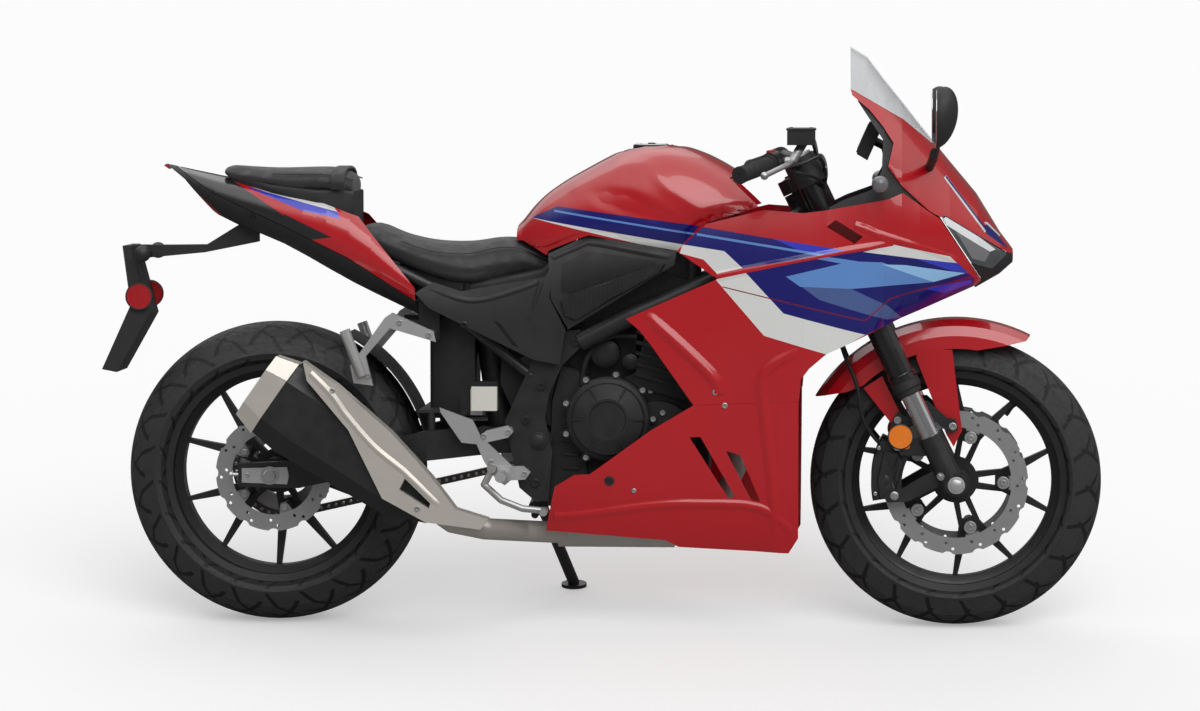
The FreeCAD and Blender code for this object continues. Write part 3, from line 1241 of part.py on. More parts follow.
def seats():
    """Two seats let into the tail, whose skin is black below and red along the sides."""
    tank_room = slab([(x, z - 0.6) for x, z in TANK_COVER], -300, 300)
    keep(plain("RiderSeat", loft(SEAT_FORM).cut(tank_room)), "seat_rider")
    keep(plain("PillionSeat", loft(PAD_FORM)), "seat_pillion")
    skin = shell_of(TAIL_FORM, float(s.wall))
    black = skin.common(slab(TAIL_BLACK, -300, 300))
    reds = [skin.common(slab(TAIL_RED, *span)) for span in ((12, 300), (-300, -12))]
    for form in (SEAT_FORM, PAD_FORM):
        room = loft(form, SEAT_GAP)
        black = black.cut(room)
        reds = [red.cut(room) for red in reds]
    keep(largest("TailCowl", black), "tail_cowl")
    sides = [largest("TailPanel", red) for red in reds]
    keep(group("TailPanels", *sides), "tail_panels")


def largest(name, shape):
    """The largest solid of a shape that cuts have parted."""
    return plain(name, max(shape.Solids, key=lambda solid: solid.Volume))


# Parts on the bodywork and the frame

def mirrors():
    """Mirror heads on stalks that stand on the cowl."""
    root = point(1350, 105, 944)
    elbow = point(1358, 215, 968)
    neck = point(1366, s.mirror_y - 22, 1012)
    centre = point(1370, s.mirror_y, 1052)
    stalk = path("MirrorStalk", [root, elbow, neck, centre], 9)
    head = doc.addObject("Part::Ellipsoid", "MirrorHead")
    head.Radius1 = 62
    head.Radius2 = 34
    head.Radius3 = 46
    head.Placement = Placement(centre, Rotation(ACROSS, 12) * Rotation(UP, 0))
    face = centre + Vector(-7, 0, 0)
    glass_side = block("MirrorCut", face + Vector(-60, -90, -90), face + Vector(0, 90, 90))
    cowl_room = plain("MirrorSeat", loft(FAIRING_FORM, -0.3))
    keep(both("Mirrors", cut("Mirror", fuse("MirrorBlank", stalk, head), glass_side, cowl_room)), "mirrors")


def plate_holder():
    """Arm below the tail with the bare number-plate board and two lamps' stalks."""
    arm = slab([(-40, 850), (-40, 790), (-150, 768), (-316, 752), (-316, 783), (-221, 783), (-147, 784)], -18, 18)
    board_corners = [(-316, 783), (-300, 783), (-262, 640), (-330, 520), (-361, 526), (-300, 660)]
    board = slab(board_corners, -PLATE_HALF, PLATE_HALF)
    pieces = [board]
    for side in (1, -1):
        pieces.append(Part.makeCylinder(7, 62, point(-268, side * 17, 768), ACROSS * side))
        pieces.append(Part.makeSphere(17, point(-268, side * 94, 768)))
    whole = arm.fuse(pieces).cut(loft(TAIL_FORM, -float(s.seat_gap)))
    keep(largest("PlateHolder", whole.removeSplitter()), "plate_holder")


def front_lamps():
    """Turn indicators on short stalks at the fairing's shoulders."""
    stalk = rod("FlasherStalk", point(1257, 190, 918), point(1257, 240, 918), 7)
    lens = ball("FlasherLens", point(1252, 252, 918), 17)
    seat = plain("FlasherSeat", loft(FAIRING_FORM, float(s.wall)))
    keep(both("Flashers", cut("Flasher", fuse("FlasherBlank", stalk, lens), seat)), "front_indicators")


def covers():
    """Black covers below the tank and the seat."""
    wall = float(s.wall)
    skin = shell_of(COVER_FORM, wall)
    air = skin.common(slab(AIR_COVER, 20, 300))
    keep(both("AirCovers", largest("AirCover", air)), "air_covers")
    side = skin.common(slab(SIDE_COVER, 20, 300)).cut(slab(AIR_COVER, 19, 301))
    keep(both("SideCovers", largest("SideCover", side)), "side_covers")


HEEL_GUARD = [
    (354, 457), (422, 432), (438, 399), (450, 410), (494, 421), (505, 408), (495, 396), (452, 386), (504, 337),
    (526, 338), (541, 326), (530, 310), (500, 308), (488, 298), (471, 308), (445, 347), (430, 382), (399, 385), (356, 447),
]
PLATE_FACE = 150
PLATE_WALL = 6
HANGER = [(255, 650), (340, 612), (345, 590), (250, 618), (200, 560), (215, 500), (175, 505), (168, 540), (240, 640)]


def rests():
    """Foot pegs, their plates and the pillion's hangers."""
    plate = plain("HeelPlate", slab(HEEL_GUARD, PLATE_FACE, PLATE_FACE + PLATE_WALL))
    face = s.plate_y + s.plate_thick + s.seat_gap
    post = rod("PlatePost", point(495, face, 408), point(495, PLATE_FACE, 408), 8)
    post_low = rod("PlatePostLow", point(528, face, 323), point(528, PLATE_FACE, 323), 8)
    hinge = block("PegHinge", point(474, PLATE_FACE + PLATE_WALL, 308), point(500, PLATE_FACE + 20, 336))
    peg = rod("RiderPeg", point(486, PLATE_FACE + 16, 322), point(486, PLATE_FACE + 92, 322), s.peg_rad)
    keep(both("RiderPegs", fuse("RiderPegSet", plate, post, post_low, hinge, peg)), "rider_pegs")
    hanger = plain("Hanger", slab(HANGER, 128, 138))
    foot = rod("PillionPeg", point(192, 140, 520), point(158, 146, 614), s.peg_rad)
    stay_a = rod("HangerPost", point(270, 92.3, 630), point(270, 128, 630), 9)
    stay_b = rod("HangerPostLow", point(330, 92.3, 605), point(330, 128, 605), 9)
    keep(both("PillionPegs", fuse("PillionSet", hanger, foot, stay_a, stay_b)), "pillion_pegs")


def levers():
    """Foot levers, the brake on the right and the gear lever on the left, and the brake's fluid cup."""
    face = PLATE_FACE + PLATE_WALL
    pivot_at = point(463, -face - 7, 332)
    brake = [pivot_at]
    for x, z in ((446, 300), (481, 268), (525, 251), (570, 247)):
        brake.append(point(x, -face - 7, z))
    right = path("BrakePedal", brake, 7)
    toe = rod("BrakeToe", brake[-1], brake[-1] - ACROSS * 36, 8)
    pivot = rod("BrakePivot", point(462, -face - 0.3, 333), point(462, -face - 15, 333), 9.5)
    left = path("GearLever", [point(463, face + 7, 332), point(461, face + 7, 294), point(575, face + 7, 262)], 6)
    left_toe = rod("GearToe", point(575, face + 7, 262), point(575, face + 42, 262), 8)
    left_pivot = rod("GearPivot", point(462, face + 0.3, 333), point(462, face + 15, 333), 9.5)
    cup = block("RearCup", point(419, -148, 450), point(471, -124, 510))
    cup_stay = block("CupStay", point(395, -132, 440), point(440, -128, 494))
    cup_post = rod("CupPost", point(404, -156, 446), point(404, -128, 446), 6)
    reach = fuse("CupSet", cup, cup_stay, cup_post)
    keep(
        group(
            "FootControls", fuse("BrakeLever", right, toe, pivot),
            fuse("GearSet", left, left_toe, left_pivot), reach,
        ),
        "foot_controls",
    )


def small_parts():
    """Shock absorber, dash on its stay, hugger, tail lamp and the brake fluid's cup."""
    keep(rod("Shock", point(440, 0, 610), point(470, 0, 400), 28), "rear_shock")
    face = plain("DashFace", slab(DASH, -78, 78))
    stay = path("DashStay", [point(1140, 0, 816), point(1292, 0, 880), point(1262, 0, 990), point(1232, 0, 1005)], 9)
    room = rod("StayRoom", STEM + STEM_DOWN * 90, STEM - STEM_DOWN * 90, s.head_rad + s.seat_gap)
    keep(cut("Dash", fuse("DashSet", face, stay), room), "dash")
    lamp = plain("TailLens", slab(TAIL_LENS, -16, 16).cut(loft(TAIL_FORM, -float(s.seat_gap))))
    lenses = [lamp]
    for side in (1, -1):
        start = point(-281, side * (PLATE_HALF + 0.3), 678)
        lenses.append(rod("SideReflector", start, start + ACROSS * (side * 7), 27))
    keep(group("TailLamp", *lenses), "tail_lamp")
    hugger()


DASH = [(1204, 975), (1226, 962), (1256, 1030), (1234, 1043)]
TAIL_LENS = [(-236, 949), (-192, 918), (-189, 921), (-231, 952)]
PLATE_HALF = 62


def hugger():
    """The guard ahead of the rear tyre, on two posts on the swingarm."""
    half = float(s.rear_half) - 4
    inside = float(s.rear_rad) + 12
    base = REAR_AXLE - ACROSS * half
    hollow = Part.makeCylinder(inside, 2 * half, base, ACROSS)
    ring = Part.makeCylinder(inside + 4, 2 * half, base, ACROSS).cut(hollow)
    at = REAR_AXLE
    band = ring.common(slab([(at.x, at.z), (at.x + 500, at.z + 126), (at.x + 260, at.z + 500)], -half, half))
    bridge = slab([(308, 444), (352, 444), (352, 450), (308, 450)], -128, 128)
    posts = [Part.makeCylinder(8, 38, point(334, side * 120, 408.2), UP) for side in (1, -1)]
    tyre_room = Part.makeCylinder(inside, 400, REAR_AXLE - ACROSS * 200, ACROSS)
    whole = band.fuse([bridge.cut(tyre_room)] + posts).removeSplitter()
    keep(plain("Hugger", whole), "hugger")


COVER_FORM = [
    (240, [(0, 560), (70, 565), (104, 600), (118, 650), (112, 700), (90, 735), (0, 740)]),
    (400, [(0, 480), (118, 490), (140, 560), (146, 630), (136, 690), (112, 722), (0, 730)]),
    (560, [(0, 470), (138, 480), (150, 580), (156, 660), (150, 730), (120, 785), (0, 800)]),
    (700, [(0, 520), (100, 540), (140, 610), (160, 690), (160, 755), (130, 815), (0, 830)]),
    (860, [(0, 560), (100, 580), (142, 650), (166, 720), (166, 780), (136, 830), (0, 845)]),
]
SIDE_COVER = [
    (337, 712), (396, 694), (570, 725), (583, 745), (580, 682), (612, 618), (600, 545), (545, 556), (330, 660), (300, 690),
]


def stand_axes():
    """Pivot, foot and hinge axis of the side stand."""
    pivot = point(s.stand_x, s.stand_y, s.stand_z)
    foot = point(s.foot_x, s.foot_y, ground(s.foot_y))
    down = (foot - pivot).normalize()
    folded = Vector(-0.97, 0.12, 0.2)
    return pivot, foot, down.cross(folded).normalize()


def side_stand():
    pivot, foot, axis = stand_axes()
    lean = math.radians(float(s.lean))
    road_up = Vector(0, -math.sin(lean), math.cos(lean))
    pad_top = foot + road_up * float(s.foot_pad_thick)
    leg = Part.makeCylinder(float(s.stand_rad), (pad_top - pivot).Length, pivot, pad_top - pivot)
    eye_half = float(s.stand_rad)
    eye = Part.makeCylinder(20, 2 * eye_half, pivot - axis * eye_half, axis)
    sole = Part.makeCylinder(float(s.foot_pad_rad), float(s.foot_pad_thick), foot, road_up)
    below = Part.makeCylinder(200, 60, foot - road_up * 60, road_up)
    whole = leg.fuse([eye, sole]).cut(below)
    bore = Part.makeCylinder(6.05, 60, pivot - axis * 30, axis)
    keep(plain("SideStand", whole.cut(bore).removeSplitter()), "side_stand")
    bolt = Part.makeCylinder(6, 2 * eye_half + 22, pivot - axis * (eye_half + 18), axis)
    keep(plain("StandBolt", bolt), "stand_bolt")


def build():
    wheels()
    steering()
    frame()
    swingarm()
    rear_spacers()
    chain()
    engine()
    exhaust()
    fairings()
    tank()
    seats()
    covers()
    mirrors()
    plate_holder()
    front_lamps()
    rests()
    levers()
    small_parts()
    side_stand()


def check():
    """Stop on any failed object or empty sub-part."""
    doc.recompute()
    for thing in doc.Objects:
        if "Invalid" in thing.State or "Error" in thing.State:
            raise RuntimeError("%s failed: %s" % (thing.Name, thing.State))
    for node in NODES:
        if node.Shape.isNull() or not node.Shape.isValid() or not node.Shape.Solids:
            raise RuntimeError("%s has no valid shape" % node.Label)


def settle():
    """Lean the bike and put its origin below the middle of its outline."""
    lean = Placement(MIDDLE, Rotation(Vector(1, 0, 0), -float(s.lean)))
    for node in NODES:
        node.Placement = lean.multiply(node.Placement)
    doc.recompute()
    bound = FreeCAD.BoundBox()
    for node in NODES:
        bound.add(node.Shape.optimalBoundingBox(False))
    shift = Placement(Vector(-bound.Center.x, -bound.Center.y, -bound.ZMin), Rotation())
    for node in NODES:
        node.Placement = shift.multiply(node.Placement)
    return bound


def write():
    """One STEP file for each sub-part, named by its label."""
    os.makedirs("parts", exist_ok=True)
    for node in NODES:
        node.Shape.exportStep("parts/%s.step" % node.Label)


build()
check()
BOUND = settle()
check()
write()
print("%d sub-parts, %.0f x %.0f x %.0f mm" % (len(NODES), BOUND.XLength, BOUND.YLength, BOUND.ZLength))
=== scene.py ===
"""Looks of the sport motorcycle: materials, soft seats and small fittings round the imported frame."""

import json
import math

import bmesh
import bpy
from mathutils import Matrix, Vector


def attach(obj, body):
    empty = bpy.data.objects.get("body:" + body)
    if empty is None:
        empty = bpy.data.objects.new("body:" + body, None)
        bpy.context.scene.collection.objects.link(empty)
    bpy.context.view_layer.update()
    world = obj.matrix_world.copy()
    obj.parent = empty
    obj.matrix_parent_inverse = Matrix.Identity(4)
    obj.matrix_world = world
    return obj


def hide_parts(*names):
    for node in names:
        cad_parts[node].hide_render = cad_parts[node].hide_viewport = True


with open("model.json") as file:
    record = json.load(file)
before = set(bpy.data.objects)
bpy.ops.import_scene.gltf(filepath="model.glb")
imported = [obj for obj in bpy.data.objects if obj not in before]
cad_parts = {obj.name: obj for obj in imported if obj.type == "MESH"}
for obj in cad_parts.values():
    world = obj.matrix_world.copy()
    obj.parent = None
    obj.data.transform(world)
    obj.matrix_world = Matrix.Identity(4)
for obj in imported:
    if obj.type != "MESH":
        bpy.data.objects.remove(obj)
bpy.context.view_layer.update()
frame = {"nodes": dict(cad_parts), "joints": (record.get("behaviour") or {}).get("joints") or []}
NODES = frame["nodes"]

# Frame of the upright bike, in millimetres: x forward from the rear axle, y to the left, z above the road

LEAN = math.radians(9)
TILT = Matrix.Rotation(-LEAN, 3, "X")
REAR_RAD = 0.31302
JOINTS = {joint["name"]: joint for joint in frame["joints"]}
SHIFT = Vector(JOINTS["rear_wheel_spin"]["pos_m"]) - TILT @ Vector((0, 0, REAR_RAD))
RAKE = math.radians(25.5)
DOWN = Vector((math.sin(RAKE), 0, -math.cos(RAKE)))
AHEAD = Vector((math.cos(RAKE), 0, math.sin(RAKE)))
STEM = Vector((1116.5, 0, 830))
REAR_AXLE = Vector((0, 0, 313.02))
CHAIN_PITCH = 15.875
REAR_TEETH = 41
FRONT_TEETH = 15
CHAIN_OUT = 93
CHAIN_FRONT = Vector((640, 0, 392))
FRONT_DISC_OUT = 62 + 4.5
REAR_DISC_OUT = 78 + 4.5
FRONT_BOLT_RAD = 97
REAR_BOLT_RAD = 74
CAP_X = 780
CAP_TOP = 995
FRONT_AXLE = (TILT.inverted() @ (Vector(JOINTS["front_wheel_spin"]["pos_m"]) - SHIFT)) * 1000


def spot(x, y, z):
    """A place of the upright bike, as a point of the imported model."""
    return TILT @ (Vector((x, y, z)) / 1000) + SHIFT


def way(x, y, z):
    """A direction of the upright bike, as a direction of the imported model."""
    return (TILT @ Vector((x, y, z))).normalized()


def upright(place):
    """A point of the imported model, as a place of the upright bike."""
    return (TILT.inverted() @ (Vector(place) - SHIFT)) * 1000


def on_leg(down, side):
    """A packed point on a fork leg's axis, down from the steering head's middle."""
    return spot(*(STEM + DOWN * down + AHEAD * 31 + Vector((0, side * 100, 0))))


# Photograph's scale: pixels of the side view to the upright bike's plane at a distance from the middle

PIXEL = 2.068
EYE = Vector((1248, -8716, 1125))
EYE_AIM = Vector((673, 0, 555))
AXLE_PX = (274.6, 471.3)


def seen(px, py, out):
    """The (x, z) that the photograph shows at a pixel, on the plane out from the middle."""
    x = (px - AXLE_PX[0]) * PIXEL
    z = 312 + (AXLE_PX[1] - py) * PIXEL + 0.004 * x
    shrink = 1 - out / -EYE.y
    return EYE.x + (x - EYE.x) * shrink, EYE.z + (z - EYE.z) * shrink


def traced(out, pixels):
    """The (x, z) places of several pixels."""
    return [seen(px, py, out) for px, py in pixels]


# Camera

def add_camera():
    lens = bpy.data.cameras.new("camera")
    lens.lens = 126.4
    lens.sensor_width = 36
    eye = bpy.data.objects.new("camera", lens)
    back = (EYE - EYE_AIM).normalized()
    right = Vector((0, 0, 1)).cross(back).normalized()
    up = back.cross(right)
    turn = Matrix((right, up, back)).transposed()
    eye.matrix_world = Matrix.Translation(spot(*EYE)) @ (TILT @ turn).to_4x4()
    bpy.context.scene.collection.objects.link(eye)
    bpy.context.scene.camera = eye


add_camera()


# Materials

def link(tree, source, target):
    tree.links.new(source, target)


def math_node(tree, operation, *values, clamp=False):
    node = tree.nodes.new("ShaderNodeMath")
    node.operation = operation
    node.use_clamp = clamp
    for socket, value in zip(node.inputs, values):
        if isinstance(value, (int, float)):
            socket.default_value = value
        else:
            link(tree, value, socket)
    return node.outputs[0]


COORDS = {}


def coords(tree, origin=(0, 0, 0)):
    """X, Y and Z of the upright bike in metres, counted from an origin in millimetres."""
    key = (tree.as_pointer(), origin)
    if key not in COORDS:
        place = tree.nodes.new("ShaderNodeTexCoord")
        turn = tree.nodes.new("ShaderNodeMapping")
        turn.inputs["Rotation"].default_value = (LEAN, 0, 0)
        back = TILT.inverted() @ SHIFT
        turn.inputs["Location"].default_value = [-a - b / 1000 for a, b in zip(back, origin)]
        link(tree, place.outputs["Object"], turn.inputs["Vector"])
        split = tree.nodes.new("ShaderNodeSeparateXYZ")
        link(tree, turn.outputs[0], split.inputs[0])
        COORDS[key] = split.outputs
    return COORDS[key]


def noise(tree, scale, detail=2.0, vector=None):
    node = tree.nodes.new("ShaderNodeTexNoise")
    node.inputs["Scale"].default_value = scale
    node.inputs["Detail"].default_value = detail
    if vector is None:
        place = tree.nodes.new("ShaderNodeTexCoord")
        vector = place.outputs["Object"]
    link(tree, vector, node.inputs["Vector"])
    return node.outputs[0]


def run_of(tree, x, z):
    """Length of a line that has two sockets as its legs."""
    squares = math_node(tree, "ADD", math_node(tree, "MULTIPLY", x, x), math_node(tree, "MULTIPLY", z, z))
    return math_node(tree, "SQRT", squares)


def cells(tree, scale):
    """Distance from the nearest point of a cell pattern."""
    cell = tree.nodes.new("ShaderNodeTexVoronoi")
    cell.inputs["Scale"].default_value = scale
    place = tree.nodes.new("ShaderNodeTexCoord")
    link(tree, place.outputs["Object"], cell.inputs["Vector"])
    return cell.outputs["Distance"]


def mix(tree, share, first, second):
    """A colour mixed from two, by a socket."""
    node = tree.nodes.new("ShaderNodeMix")
    node.data_type = "RGBA"
    link(tree, share, node.inputs[0])
    for socket, value in ((node.inputs[6], first), (node.inputs[7], second)):
        if isinstance(value, (tuple, list)):
            socket.default_value = (*value[:3], 1)
        else:
            link(tree, value, socket)
    return node.outputs[2]


def spread(tree, value, low, high):
    node = tree.nodes.new("ShaderNodeMapRange")
    link(tree, value, node.inputs[0])
    node.inputs["From Min"].default_value = 0.3
    node.inputs["From Max"].default_value = 0.7
    node.inputs["To Min"].default_value = low
    node.inputs["To Max"].default_value = high
    return node.outputs[0]


class Finish:
    """A material under way: its tree, its colour socket and its height socket."""

    def __init__(
        self, name, colour, rough, metal=0.0, coat=0.0, vary=0.12, grain=900.0, depth=0.00004, patch=9.0,
        sway=0.2,
    ):
        self.material = bpy.data.materials.new(name)
        self.material.use_nodes = True
        self.material.diffuse_color = (*colour, 1)
        self.tree = self.material.node_tree
        self.shader = self.tree.nodes["Principled BSDF"]
        self.shader.inputs["Metallic"].default_value = metal
        self.shader.inputs["Coat Weight"].default_value = coat
        self.shader.inputs["Coat Roughness"].default_value = 0.04
        dull = tuple(c * (1 - vary) for c in colour)
        bright = tuple(min(1, c * (1 + vary)) for c in colour)
        self.colour = mix(self.tree, noise(self.tree, patch, 4), dull, bright)
        roughness = spread(
            self.tree, noise(self.tree, patch * 4, 3), rough * (1 - sway), min(1, rough * (1 + sway)),
        )
        link(self.tree, roughness, self.shader.inputs["Roughness"])
        self.height = noise(self.tree, grain, 3)
        self.depth = depth

    def paint(self, mask, colour):
        self.colour = mix(self.tree, mask, self.colour, colour)

    def shapes(self, shapes, out):
        """Paints flat shapes, each a colour and its pixels of the side view."""
        for colour, pixels in shapes:
            self.paint(inside(self.tree, traced(out, pixels)), colour)

    def dent(self, mask, deep):
        """Lowers the surface where the mask is 1, in metres."""
        scaled = math_node(self.tree, "MULTIPLY", mask, deep / self.depth)
        self.height = math_node(self.tree, "SUBTRACT", self.height, scaled)

    def done(self):
        bump = self.tree.nodes.new("ShaderNodeBump")
        bump.inputs["Distance"].default_value = self.depth
        link(self.tree, self.height, bump.inputs["Height"])
        link(self.tree, bump.outputs[0], self.shader.inputs["Normal"])
        link(self.tree, self.colour, self.shader.inputs["Base Color"])
        return self.material


def inside(tree, corners):
    """1 inside a convex outline of (x, z) places in millimetres, else 0."""
    x, _, z = coords(tree)
    area = sum(a[0] * b[1] - b[0] * a[1] for a, b in zip(corners, corners[1:] + corners[:1]))
    sign = 1 if area > 0 else -1
    deepest = None
    for a, b in zip(corners, corners[1:] + corners[:1]):
        run = math.hypot(b[0] - a[0], b[1] - a[1])
        nx = -(b[1] - a[1]) / run * sign
        nz = (b[0] - a[0]) / run * sign
        away = -(a[0] * nx + a[1] * nz) / 1000
        along = math_node(tree, "MULTIPLY_ADD", x, nx, away)
        deep = math_node(tree, "MULTIPLY_ADD", z, nz, along)
        deepest = deep if deepest is None else math_node(tree, "MINIMUM", deepest, deep)
    return math_node(tree, "MULTIPLY_ADD", deepest, 2500, 0.5, clamp=True)


def band(start, end, wide):
    """Corners of a straight band between two pixels."""
    dx = end[0] - start[0]
    dy = end[1] - start[1]
    run = math.hypot(dx, dy)
    nx = -dy / run * wide / 2
    ny = dx / run * wide / 2
    return [
        (start[0] + nx, start[1] + ny), (end[0] + nx, end[1] + ny), (end[0] - nx, end[1] - ny),
        (start[0] - nx, start[1] - ny),
    ]


RED = (0.52, 0.003, 0.009)
NAVY = (0.004, 0.004, 0.17)
BLUE = (0.03, 0.04, 0.58)
SKY = (0.12, 0.28, 0.66)
PALE = (0.32, 0.6, 0.93)
SLATE = (0.07, 0.12, 0.32)
WHITE = (0.78, 0.78, 0.76)
BLACK = (0.018, 0.018, 0.02)


def shaded(name, shapes, out):
    """Moulded black plastic with flat shapes in other colours."""
    finish = Finish(name, (0.022, 0.022, 0.023), 0.55, grain=1500.0, depth=0.00006, vary=0.12)
    finish.shapes(shapes, out)
    return finish.done()


def paintwork(name, shapes=(), out=0):
    """Glossy red paint with flat coloured shapes."""
    finish = Finish(name, RED, 0.3, coat=1.0, vary=0.04, grain=900.0, depth=0.000006, patch=4.0, sway=0.08)
    finish.shapes(shapes, out)
    return finish.done()


TANK_SHAPES = [
    (NAVY, [(528.5, 217.1), (555.9, 205.4), (700, 225), (683, 243.8)]),
    (WHITE, [(527, 217), (683.5, 243.6), (678.5, 252.4)]),
    (SKY, band((552.7, 210), (696, 233.3), 2)),
]
FAIRING_SHAPES = [
    (NAVY, [(683, 243.7), (700, 224.5), (774.5, 238.2), (850.8, 251), (743, 267.2)]),
    (BLUE, [(774.5, 238.2), (848, 250), (812, 255)]),
    (SKY, band((697, 233.5), (824, 254.4), 2.4)),
    (WHITE, [(683, 243.7), (724.8, 250.3), (704.2, 258.8), (680, 252.4)]),
    (WHITE, [(724.8, 250.3), (743, 267.2), (717.5, 272.8), (704.2, 258.8)]),
    (NAVY, [
        (745, 272.4), (850.8, 251), (893.2, 244.5), (957.1, 263.6), (976, 281), (975, 290), (864.6, 336),
        (784.2, 312.6),
    ]),
    (WHITE, [(716, 278.5), (746.6, 272.1), (784.2, 312.6), (764.8, 335.1)]),
    (WHITE, [(784.2, 312.6), (866, 335), (829, 354.5), (764.8, 335.1)]),
    (SLATE, [(800, 284), (852, 288.2), (887.9, 306.1), (902.1, 319), (887.9, 321), (820, 299)]),
    (SKY, [
        (786.6, 275.7), (852, 260.5), (882.5, 262), (920, 275.7), (934.3, 282.9), (891.4, 290),
        (852, 288.2), (808, 291),
    ]),
    (SKY, [(818, 254.4), (858, 260.5), (858, 266), (818, 258.2)]),
    (BLUE, [
        (848.6, 253.4), (900.4, 256), (958, 263.6), (973.6, 279.3), (961, 274.8), (900.4, 264),
        (857.5, 256.7),
    ]),
    (PALE, [(882.5, 264.1), (905.7, 265), (966, 274.8), (959.3, 276.6), (934.3, 282.9), (909.3, 273.9)]),
    (BLUE, [(927, 290), (940, 287), (972, 282), (974, 286), (946, 295)]),
    (WHITE, [(862.9, 251.4), (894.1, 244.3), (950.4, 257), (958, 264.4), (900.4, 256.4)]),
    (RED, band((850.8, 250.4), (711, 276.6), 3)),
    (RED, band((849, 251), (893.5, 244), 3)),
    (RED, band((723, 286), (865.5, 320.7), 1.1)),
    (RED, band((865.5, 320.7), (891.4, 299), 1.1)),
    (RED, band((891.4, 299), (916.4, 291.8), 1.1)),
    (RED, band((916.4, 291.8), (972, 279.3), 1.1)),
]
NOSE_SHAPES = [
    (WHITE, band((944.6, 176), (985.6, 231), 3.4)),
    (WHITE, [(984, 222), (987, 222), (1001, 236), (993, 238)]),
    (NAVY, band((945.4, 176), (986, 229.6), 1.7)),
    (NAVY, [(983.5, 226), (986.5, 224), (998, 235), (1009, 250), (986.5, 234)]),
]
TAIL_SHAPES = [
    (BLACK, [
        (150, 150), (224.4, 178), (250, 193), (286, 216), (297, 240), (200, 255), (150, 200),
    ]),
    (BLACK, [(282, 212), (331, 235.4), (314, 237.5), (292, 240)]),
    (WHITE, [(234, 181), (330, 203), (337, 211), (300, 203)]),
    (BLUE, [(240, 184.5), (336, 210), (339, 217), (300, 208.5)]),
]
# Painted shade: a near-black patch on the air covers, in the trough between the cover's raised rim and the
# raised duct panel.
PAINTED_TROUGH_SHADE = (0.007, 0.007, 0.007)
COVER_PAINTED_SHADE = [(PAINTED_TROUGH_SHADE, [(561, 292), (561, 263), (588, 250), (655, 260), (657, 264), (570, 293)])]
LAMP_EDGE = [((0.36, 0.006, 0.01), [(171, 174), (175, 176), (216, 213), (213, 216), (205, 214)])]


def rubber(name, axle, tread_half, blocks, side_rad):
    """Tyre rubber with slanting grooves cut in the tread and painted darker as shade, and fine rings on the
    sidewall.
    """
    finish = Finish(name, (0.026, 0.026, 0.028), 0.6, vary=0.2, grain=1400.0, depth=0.0004, patch=30.0)
    tree = finish.tree
    x, y, z = coords(tree, tuple(axle))
    angle = math_node(tree, "ARCTAN2", z, x)
    across = math_node(tree, "ABSOLUTE", y)
    radius = run_of(tree, x, z)
    turn = math_node(tree, "MULTIPLY", angle, blocks / (2 * math.pi))
    for shift, slope, thin, near, far in (
        (0.0, 26, 0.075, 0.006, 0.6), (0.36, -14, 0.07, 0.35, 0.86), (0.68, 20, 0.06, 0.5, 0.97),
    ):
        slanted = math_node(tree, "MULTIPLY_ADD", across, slope, shift)
        phase = math_node(tree, "FRACT", math_node(tree, "ADD", turn, slanted))
        off = math_node(tree, "ABSOLUTE", math_node(tree, "SUBTRACT", phase, 0.5))
        line = math_node(tree, "LESS_THAN", off, thin)
        after = math_node(tree, "GREATER_THAN", across, near * tread_half)
        before = math_node(tree, "LESS_THAN", across, far * tread_half)
        mask = math_node(tree, "MULTIPLY", line, math_node(tree, "MULTIPLY", after, before))
        finish.dent(mask, 0.002)
        # Painted shade: the grooves are painted near black, darker than the rubber around them.
        finish.paint(mask, (0.004, 0.004, 0.004))
    for ring in (side_rad, side_rad + 0.009, side_rad + 0.034):
        near = math_node(tree, "COMPARE", radius, ring, 0.0008)
        finish.dent(near, -0.0007)
    return finish.done()


def brushed_disc(name, axle, carrier_rad, rim_rad):
    """A brake disc: turned steel band on a dark carrier."""
    finish = Finish(
        name, (0.5, 0.5, 0.5), 0.34, metal=0.7, vary=0.06, grain=700.0, depth=0.00001, patch=40.0, sway=0.1,
    )
    tree = finish.tree
    x, _, z = coords(tree, tuple(axle))
    radius = run_of(tree, x, z)
    turned = math_node(tree, "SINE", math_node(tree, "MULTIPLY", radius, 5200))
    finish.height = math_node(tree, "ADD", finish.height, turned)
    wiped = math_node(tree, "LESS_THAN", radius, rim_rad)
    finish.paint(wiped, (0.36, 0.36, 0.37))
    dark = math_node(tree, "LESS_THAN", radius, carrier_rad)
    finish.paint(dark, (0.05, 0.05, 0.052))
    return finish.done()


def plain(name, colour, rough, **rest):
    return Finish(name, colour, rough, **rest).done()


def ribbed(name, colour, rough, axis, pitch, deep):
    """A finish with fine parallel ribs along one axis of the upright bike."""
    finish = Finish(name, colour, rough)
    value = coords(finish.tree)[axis]
    wave = math_node(finish.tree, "SINE", math_node(finish.tree, "MULTIPLY", value, 2 * math.pi / pitch))
    finish.dent(wave, deep)
    return finish.done()


def glassy(name, colour, alpha, rough, prisms=0.0):
    finish = Finish(name, colour, rough, coat=1.0, vary=0.06, grain=60.0, depth=0.00001)
    if prisms:
        finish.depth = 0.0006
        finish.height = cells(finish.tree, prisms)
    made = finish.done()
    finish.shader.inputs["Alpha"].default_value = alpha
    return made


def headlamp_glass():
    """Dark lamp glass with a bright light guide under its upper edge."""
    finish = Finish(
        "headlamp_glass", (0.07, 0.075, 0.08), 0.12, coat=1.0, vary=0.35, grain=40.0, depth=0.00001,
        patch=30.0,
    )
    guide = [(940, 213.5), (948, 213), (996, 250), (990, 252), (946, 224)]
    inner = [(953, 226), (990, 253), (985, 262), (972, 258)]
    finish.shapes([((0.2, 0.2, 0.21), inner), ((0.86, 0.87, 0.88), guide)], 130)
    return finish.done()


